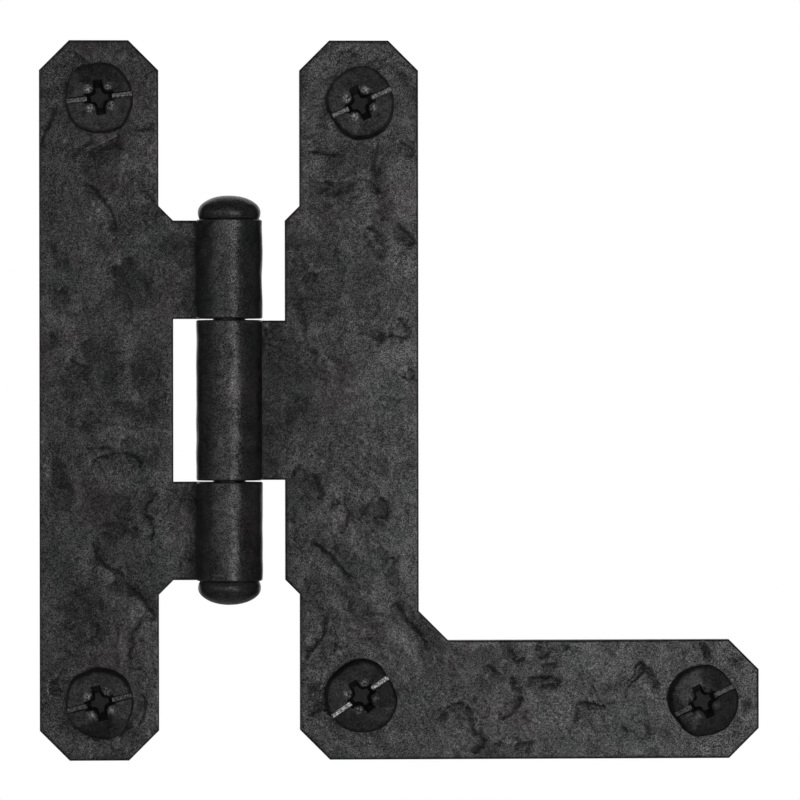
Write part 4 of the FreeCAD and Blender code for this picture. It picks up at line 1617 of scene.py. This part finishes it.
def powder_coat(name, roughness, specular):
    """Matt black coat with the sparkle of sand, in slow patches, with painted shade where the face lies
    deepest and on the sheet's sides, and the stored painted shade and highlight.
    """
    finish, tree, shader = new_finish(name, roughness, specular=specular)
    place = on_piece(tree)
    x, y = x_and_y(tree, place)
    # Painted shade where the face lies deepest and on the sheet's sides, and the stored painted shade and
    # highlight
    low = times(tree, spread(tree, y, *SUNK_IN_FACE), spread(tree, y, *OFF_THE_BACK))
    lit = left_by(tree, stored_painted_shade(tree), SHADE_DIMS)

    aside = spread(tree, reckon(tree, "ABSOLUTE", x, 0.0), *BARREL_SIDES)
    round_side = times(tree, aside, spread(tree, y, *PROUD_OF_FACE))
    grain = sand(tree, place, GRAIN_SIZE)
    off_mean = reckon(tree, "SUBTRACT", grain, GRAIN_MEAN)
    grain = reckon(tree, "SUBTRACT", grain, times(tree, off_mean, times(tree, round_side, GRAIN_EVENED)))

    patch = spread(tree, lumps(tree, place, *COAT_PATCH), *MIDDLE_PART)
    light = weighed(tree, (grain, LIGHT_BY_GRAIN), (patch, LIGHT_BY_PATCH))
    colour = blend_colours(tree, light, COAT_DARK, COAT_LIGHT)
    warm = spread(tree, lumps(tree, place, WARM_SIZE), *WARM_PART)
    green = spread(tree, lumps(tree, place, GREEN_SIZE), *GREEN_PART)
    colour = blend_colours(tree, warm, colour, WARM_TINT)
    colour = blend_colours(tree, green, colour, GREEN_TINT)
    # Painted shade darkens the colour, and painted highlight takes black out of it
    colour = blend_colours(tree, times(tree, low, SUNK_DARKENS), colour, SUNK_BLACK)
    colour = blend_colours(tree, left_by(tree, lit, LIT_KEEPS), colour, SHADE_BLACK)
    tree.links.new(colour, shader.inputs["Base Color"])

    sparkle = weighed(tree, (reckon(tree, "POWER", grain, SPARKLE_POWER), SPARKLE), level=SPARKLE_LEVEL)
    spot = spread(tree, lumps(tree, place, COAT_SPOT), *MIDDLE_PART)
    uneven = weighed(tree, (patch, SHEEN_BY_PATCH), (spot, SHEEN_BY_SPOT), level=SHEEN_LEVEL)
    sparkle = times(tree, sparkle, uneven)
    # Painted shade dims the sheen, and painted highlight raises it
    sheen = times(tree, sparkle, times(tree, left_by(tree, low, SUNK_DULLS), lit))
    tree.links.new(times(tree, sheen, specular), shader.inputs["Specular IOR Level"])

    pebble = raise_by(tree, lumps(tree, place, PEBBLE_SIZE), PEBBLE_HEIGHT)
    fine = raise_by(tree, lumps(tree, place, GRAIN_SIZE * FINE_SIZE, 1.0), FINE_HEIGHT, pebble)
    tree.links.new(fine, shader.inputs["Normal"])
    return finish


leaf_coat = powder_coat("leaf_powder_coat", 0.32, 0.21)
pin_coat = powder_coat("pin_powder_coat", 0.30, 0.22)

# Screw black, a smoother finish that is brighter round the four corners of the recess, whose place on
# the plan and whose reach are in millimetres
HEAD_DARK, HEAD_LIGHT = (0.005, 0.005, 0.0052), (0.019, 0.019, 0.0195)
HEAD_WARM, HEAD_WARM_SIZE, HEAD_WARM_PART = (0.011, 0.0092, 0.0093), 3 * MM, (0.55, 0.8)
HEAD_GREEN, HEAD_GREEN_SIZE, HEAD_GREEN_PART = (0.0065, 0.0095, 0.0085), 2.2 * MM, (0.58, 0.8)
FLECK, FLECK_SIZE, FLECK_PART = (0.04, 0.04, 0.041), 0.16 * MM, (0.62, 0.74)
CLOUD, CLOUD_PART = (1.1 * MM, 4.0, 0.65), (0.32, 0.7)
BRIGHT_CORNER, BRIGHT_REACH = (1.25, 1.2, 0), (0.62, 0.12)
BRIGHT_SIZE, BRIGHT_PART = 0.26 * MM, (0.42, 0.66)
# Painted shade on the beaten facets darkens and dims them, and painted highlight brightens them
FACET_SHADE_DIMS, FACET_DARKENS, FACET_SHADE_BLACK = 0.82, 0.8, grey(0.001)
HEAD_ROUGHNESS, HEAD_SHEEN = 0.38, 0.14
HEAD_GRAIN_SIZE, HEAD_GRAIN_POWER = 0.12 * MM, 1.6
SHEEN_BY_GRAIN, SHEEN_BY_CLOUD, HEAD_SHEEN_LEVEL = 1.9, 0.5, 0.03
BEATEN_SIZE, BEATEN_HEIGHT = 0.9 * MM, 0.06 * MM


def blackened_head(name, brightened_to):
    """Smooth black screw finish, brighter at the four corners of the recess, with painted shade and highlight
    on its beaten facets.
    """
    finish, tree, shader = new_finish("screw_black_" + name, HEAD_ROUGHNESS, specular=HEAD_SHEEN)
    place = on_piece(tree)
    cloud = spread(tree, lumps(tree, place, *CLOUD), *CLOUD_PART)
    black = blend_colours(tree, cloud, HEAD_DARK, HEAD_LIGHT)
    warm = spread(tree, lumps(tree, place, HEAD_WARM_SIZE), *HEAD_WARM_PART)
    green = spread(tree, lumps(tree, place, HEAD_GREEN_SIZE), *HEAD_GREEN_PART)
    fleck = spread(tree, lumps(tree, place, FLECK_SIZE, 1.0), *FLECK_PART)
    black = blend_colours(tree, warm, black, HEAD_WARM)
    black = blend_colours(tree, green, black, HEAD_GREEN)
    black = blend_colours(tree, fleck, black, FLECK)

    fold = tree.nodes.new("ShaderNodeVectorMath")
    fold.operation = "ABSOLUTE"
    tree.links.new(on_plan(tree), fold.inputs[0])
    corner = tree.nodes.new("ShaderNodeVectorMath")
    corner.operation = "DISTANCE"
    corner.inputs[1].default_value = BRIGHT_CORNER
    tree.links.new(fold.outputs["Vector"], corner.inputs[0])
    rubbed = spread(tree, corner.outputs["Value"], *BRIGHT_REACH)
    rubbed = times(tree, rubbed, spread(tree, lumps(tree, place, BRIGHT_SIZE), *BRIGHT_PART))

    # Painted shade and highlight of the beaten facets
    dull = stored_painted_shade(tree)
    lit = left_by(tree, dull, FACET_SHADE_DIMS)
    black = blend_colours(tree, times(tree, dull, FACET_DARKENS), black, FACET_SHADE_BLACK)
    colour = blend_colours(tree, times(tree, rubbed, lit), black, grey(brightened_to))
    tree.links.new(colour, shader.inputs["Base Color"])

    grain = reckon(tree, "POWER", sand(tree, place, HEAD_GRAIN_SIZE), HEAD_GRAIN_POWER)
    sheen = weighed(tree, (grain, SHEEN_BY_GRAIN), (cloud, SHEEN_BY_CLOUD), level=HEAD_SHEEN_LEVEL)
    sheen = times(tree, times(tree, sheen, lit), HEAD_SHEEN)
    tree.links.new(sheen, shader.inputs["Specular IOR Level"])
    beaten = raise_by(tree, lumps(tree, place, BEATEN_SIZE, 3.0), BEATEN_HEIGHT)
    fine = raise_by(tree, lumps(tree, place, FLECK_SIZE, 1.0), FINE_HEIGHT, beaten)
    tree.links.new(fine, shader.inputs["Normal"])
    return finish


# Bare steel, as shares of its brightness, which each screw's copy sets as painted light of its own. The floor
# is painted darker towards the slot's sides as painted shade; the sides are in millimetres from its middle.
STEEL_ROUGHNESS, STEEL_METALLIC = 0.42, 0.85
STEEL_DULL, STEEL_BRIGHT, SLOT_SHADE_BLACK = (0.2, 0.2, 0.204), (1, 1, 1.01), grey(0.004)
GRIT_SIZE, GRIT_PART = 0.2 * MM, (0.4, 0.62)
SLOT_SIDES = (0.17, 0.33)
SAW_SIZE, SAW_HEIGHT = 0.22 * MM, 0.05 * MM


def cut_steel(name, brightness):
    """Bare steel where the slot was cut through the finish, crossed by saw marks, its brightness painted
    light and painted shade towards the slot's walls.
    """
    finish, tree, shader = new_finish("slot_steel_" + name, STEEL_ROUGHNESS, metallic=STEEL_METALLIC)
    place = on_piece(tree)
    grit = spread(tree, lumps(tree, place, GRIT_SIZE, 1.0), *GRIT_PART)
    dull = tuple(brightness * share for share in STEEL_DULL)
    bright = tuple(brightness * share for share in STEEL_BRIGHT)
    steel = blend_colours(tree, grit, dull, bright)
    # Painted shade on the slot's floor towards its walls
    _, across = x_and_y(tree, on_plan(tree))
    aside = spread(tree, reckon(tree, "ABSOLUTE", across, 0.0), *SLOT_SIDES)
    tree.links.new(blend_colours(tree, aside, steel, SLOT_SHADE_BLACK), shader.inputs["Base Color"])
    marks = raise_by(tree, lumps(tree, place, SAW_SIZE, 1.0), SAW_HEIGHT)
    tree.links.new(marks, shader.inputs["Normal"])
    return finish


# The recess is painted darker than the rest of the head, as painted shade
RECESS_ROUGHNESS, RECESS_SHEEN = 0.6, 0.2
RECESS_DARK, RECESS_LIGHT = grey(0.0018), (0.006, 0.006, 0.0062)
RECESS_LUMPS, RECESS_PART, RECESS_HEIGHT = 0.35 * MM, (0.35, 0.7), 0.03 * MM


def recess_black():
    """The deep recess, painted near black as painted shade."""
    finish, tree, shader = new_finish("recess_black", RECESS_ROUGHNESS, specular=RECESS_SHEEN)
    cloud = spread(tree, lumps(tree, on_piece(tree), RECESS_LUMPS), *RECESS_PART)
    colour = blend_colours(tree, cloud, RECESS_DARK, RECESS_LIGHT)
    tree.links.new(colour, shader.inputs["Base Color"])
    tree.links.new(raise_by(tree, cloud, RECESS_HEIGHT), shader.inputs["Normal"])
    return finish


recess_shade_finish = recess_black()

# Where a screw's finishes change: the head's underside, its reach, and the recess's top and reach.
# Its finishes in their order are the black of the whole screw, the recess's painted shade and the slot's.
UNDERSIDE = -SHEET - 0.2 * MM
HEAD_REACH = 4.8 * MM
RECESS_TOP = -SHEET - HEAD_HEIGHT + 0.5 * MM
RECESS_REACH = 2.3 * MM
IN_RECESS, IN_SLOT = 1, 2


def finish_screw(screw, name, middle, made):
    """Black all over, painted shade down in the recess and bare steel on the slot's floor."""
    for finish in (blackened_head(name, made["rubbed"]), recess_shade_finish, cut_steel(name, made["steel"])):
        screw.data.materials.append(finish)
    turn = math.radians(made["turn"])
    for face in screw.data.polygons:
        x, y, z = face.center.x - middle[0], face.center.y, face.center.z - middle[1]
        if y > UNDERSIDE or math.hypot(x, z) > HEAD_REACH:
            continue
        _, up = turned_by(x, z, turn)
        if abs(y - HEAD_TOP - SLOT_DEPTH) < HAIR and abs(up) < SLOT_WIDTH / 2 + HAIR:
            face.material_index = IN_SLOT
        elif math.hypot(x, z) < RECESS_REACH and y > RECESS_TOP:
            face.material_index = IN_RECESS


def thread_spots():
    """Each screw's middle, x and z, from the mount that its thread makes."""
    spots = {}
    for mount in frame["record"]["mounts"]:
        if mount["name"].endswith("_thread"):
            spots[mount["name"][: -len("_thread")]] = (mount["pos_m"][0], mount["pos_m"][2])
    return spots


def dress(piece, body, node):
    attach(piece, body)
    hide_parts(node)


# The strap leaf, screwed to the cabinet's frame
strap_blank = [
    (-OUTER_EDGE + END_CUT, HALF_HEIGHT), (-OUTER_EDGE, HALF_HEIGHT - END_CUT),
    (-OUTER_EDGE, -HALF_HEIGHT + END_CUT), (-OUTER_EDGE + END_CUT, -HALF_HEIGHT),
    (-inner_edge - END_CUT, -HALF_HEIGHT), (-inner_edge, -HALF_HEIGHT + END_CUT),
    (-inner_edge, -shoulder), (-waist, -HALF_BARREL),
    (0, -HALF_BARREL), (0, -OUTER_KNUCKLE_FROM),
    (-waist, -OUTER_KNUCKLE_FROM), (-waist, OUTER_KNUCKLE_FROM),
    (0, OUTER_KNUCKLE_FROM), (0, HALF_BARREL),
    (-waist, HALF_BARREL), (-inner_edge, shoulder),
    (-inner_edge, HALF_HEIGHT - END_CUT), (-inner_edge - END_CUT, HALF_HEIGHT),
]
strap_holes = [(-strap_middle, hole_height), (-strap_middle, -hole_height)]
strap_tabs = [(-HALF_BARREL, -OUTER_KNUCKLE_FROM), (OUTER_KNUCKLE_FROM, HALF_BARREL)]
ROLL_TURN = math.radians(342)

# The L leaf, screwed to the door
angle_blank = [
    (inner_edge + END_CUT, HALF_HEIGHT), (inner_edge, HALF_HEIGHT - END_CUT),
    (inner_edge, shoulder), (waist, HALF_BARREL),
    (waist, HALF_CENTRE_KNUCKLE), (0, HALF_CENTRE_KNUCKLE),
    (0, -HALF_CENTRE_KNUCKLE), (waist, -HALF_CENTRE_KNUCKLE),
    (waist, -HALF_BARREL), (inner_edge, -shoulder),
    (inner_edge, -HALF_HEIGHT + END_CUT), (inner_edge + END_CUT, -HALF_HEIGHT),
    (TOE - END_CUT, -HALF_HEIGHT), (TOE, -HALF_HEIGHT + END_CUT),
    (TOE, foot_top - END_CUT), (TOE - END_CUT, foot_top),
    (OUTER_EDGE + FOOT_WEB, foot_top), (OUTER_EDGE, foot_top + FOOT_WEB),
    (OUTER_EDGE, HALF_HEIGHT - END_CUT), (OUTER_EDGE - END_CUT, HALF_HEIGHT),
]
angle_holes = [
    (strap_middle, angle_hole_height),
    (strap_middle, -angle_hole_height),
    (TOE - HOLE_INSET, -hole_height),
]
angle_tabs = [(-HALF_CENTRE_KNUCKLE, HALF_CENTRE_KNUCKLE)]

strap = forged_leaf(
    "strap_leaf_forged", strap_blank, strap_holes, strap_tabs, -ROLL_TURN, STRAP_MARKS, STRAP_SHADES
)
strap.data.materials.append(leaf_coat)
dress(strap, "frame_side", "strap_leaf")

angle = forged_leaf(
    "angle_leaf_forged", angle_blank, angle_holes, angle_tabs, ROLL_TURN, ANGLE_MARKS, ANGLE_SHADES
)
angle.data.materials.append(leaf_coat)
dress(angle, "door_side", "angle_leaf")

pin = hinge_pin()
pin.data.materials.append(pin_coat)
dress(pin, "frame_side", "hinge_pin")

for name, spot in thread_spots().items():
    made = SCREWS[name]
    screw = wood_screw(name, spot, made)
    finish_screw(screw, name, spot, made)
    dress(screw, "frame_side" if name.startswith("strap") else "door_side", "screw_" + name)


# Studio: a pale floor well below the hinge, a white backdrop, and soft light from the front
CAMERA_DISTANCE = 0.62
CAMERA_TURN = math.radians(2.4)
CAMERA_ROLL = math.radians(0.08)
SENSOR_WIDTH = 36
SEEN_FROM, SEEN_TO = 0.01, 10
AIM_X = MIDDLE_X * MM
FRAME_WIDTH = 98.9 * MM
SHEETS_X = 0.02
FLOOR_DROP = 0.13
FLOOR_SIZE = 0.9
BACKDROP_DISTANCE = 1.0
BACKDROP_SIZE = 2.4
PAPER, PAPER_ROUGHNESS, PAPER_SHEEN = grey(0.86), 0.9, 0.1
AMBIENT = 0.25
WHITE = (1, 1, 1, 1)


def swap_by(tree, share, plain, other):
    """Mixes two surfaces or skies by a share."""
    mix = tree.nodes.new("ShaderNodeMixShader")
    for socket, source in zip(mix.inputs, (share, plain, other)):
        tree.links.new(source, socket)
    return mix.outputs[0]


def paper_sheet(name, size, location, rotation):
    """A sheet of pale paper in the studio."""
    sheet = make(name, bpy.ops.mesh.primitive_plane_add, size=size, location=location, rotation=rotation)
    finish, tree, shader = new_finish(name + "_paper", PAPER_ROUGHNESS, specular=PAPER_SHEEN)
    shader.inputs["Base Color"].default_value = (*PAPER, 1)
    sheet.data.materials.append(finish)
    return sheet, tree, shader


def studio():
    """The floor, a backdrop that shows plain white to the camera and in reflections, and the room."""
    floor, _, _ = paper_sheet("floor", FLOOR_SIZE, (SHEETS_X, 0, -FLOOR_DROP), (0, 0, 0))

    upright = (math.pi / 2, 0, 0)
    backdrop, tree, shader = paper_sheet("backdrop", BACKDROP_SIZE, (SHEETS_X, BACKDROP_DISTANCE, 0), upright)
    seen = tree.nodes.new("ShaderNodeLightPath")
    either = reckon(tree, "MAXIMUM", seen.outputs["Is Camera Ray"], seen.outputs["Is Glossy Ray"])
    white = put(tree, "ShaderNodeEmission", Strength=1.0)
    shown = swap_by(tree, either, shader.outputs[0], white.outputs[0])
    tree.links.new(shown, tree.nodes["Material Output"].inputs["Surface"])

    world = bpy.data.worlds.new("studio")
    bpy.context.scene.world = world
    world.use_nodes = True
    tree = world.node_tree
    room = tree.nodes["Background"]
    room.inputs["Color"].default_value = WHITE
    room.inputs["Strength"].default_value = AMBIENT
    seen = tree.nodes.new("ShaderNodeLightPath")
    white = put(tree, "ShaderNodeBackground", Color=WHITE, Strength=1.0)
    shown = swap_by(tree, seen.outputs["Is Camera Ray"], room.outputs[0], white.outputs[0])
    tree.links.new(shown, tree.nodes["World Output"].inputs["Surface"])


# Each lamp's turn to the right of the hinge's front and its rise, both in degrees, its distance and
# its size in metres, and its light
LAMPS = {
    "front": (4, 2, 2.00, 0.50, 0.035),
    "near_right": (8, 6.5, 0.40, 0.12, 0.145),
    "low_right": (17, -9, 0.40, 0.10, 0.255),
    "left": (-24, 1.5, 0.85, 0.20, 0.09),
    "far_left": (-50, 0, 0.85, 0.40, 0.095),
    "below": (0, -12, 0.85, 0.20, 0.015),
    "above": (0, 45, 0.85, 0.40, 0.02),
}


def soft_lamp(name, turn, rise, distance, size, light):
    """A square soft lamp that is aimed at the hinge's middle."""
    turn, rise, aim = math.radians(turn), math.radians(rise), Vector((AIM_X, 0, 0))
    away = Vector((math.sin(turn) * math.cos(rise), -math.cos(turn) * math.cos(rise), math.sin(rise)))
    place = aim + away * distance
    lamp = bpy.data.lights.new(name, "AREA")
    lamp.shape = "SQUARE"
    lamp.size, lamp.energy = size, light * (math.pi * distance) ** 2
    holder = bpy.data.objects.new(name, lamp)
    bpy.context.scene.collection.objects.link(holder)
    holder.location = place
    holder.rotation_euler = (aim - place).to_track_quat("-Z", "Y").to_euler()
    holder.visible_camera = False


def camera():
    view = bpy.data.cameras.new("camera")
    view.sensor_width = SENSOR_WIDTH
    view.lens = CAMERA_DISTANCE * view.sensor_width / FRAME_WIDTH
    view.clip_start, view.clip_end = SEEN_FROM, SEEN_TO
    holder = bpy.data.objects.new("camera", view)
    bpy.context.scene.collection.objects.link(holder)
    holder.location = (
        AIM_X - CAMERA_DISTANCE * math.sin(CAMERA_TURN),
        -SHEET - CAMERA_DISTANCE * math.cos(CAMERA_TURN),
        0,
    )
    holder.rotation_euler = (math.pi / 2, 0, -CAMERA_TURN)
    holder.rotation_euler.rotate_axis("Z", -CAMERA_ROLL)
    bpy.context.scene.camera = holder


studio()
for name, lamp in LAMPS.items():
    soft_lamp(name, *lamp)
camera()
bpy.context.scene.view_settings.view_transform = "Standard"
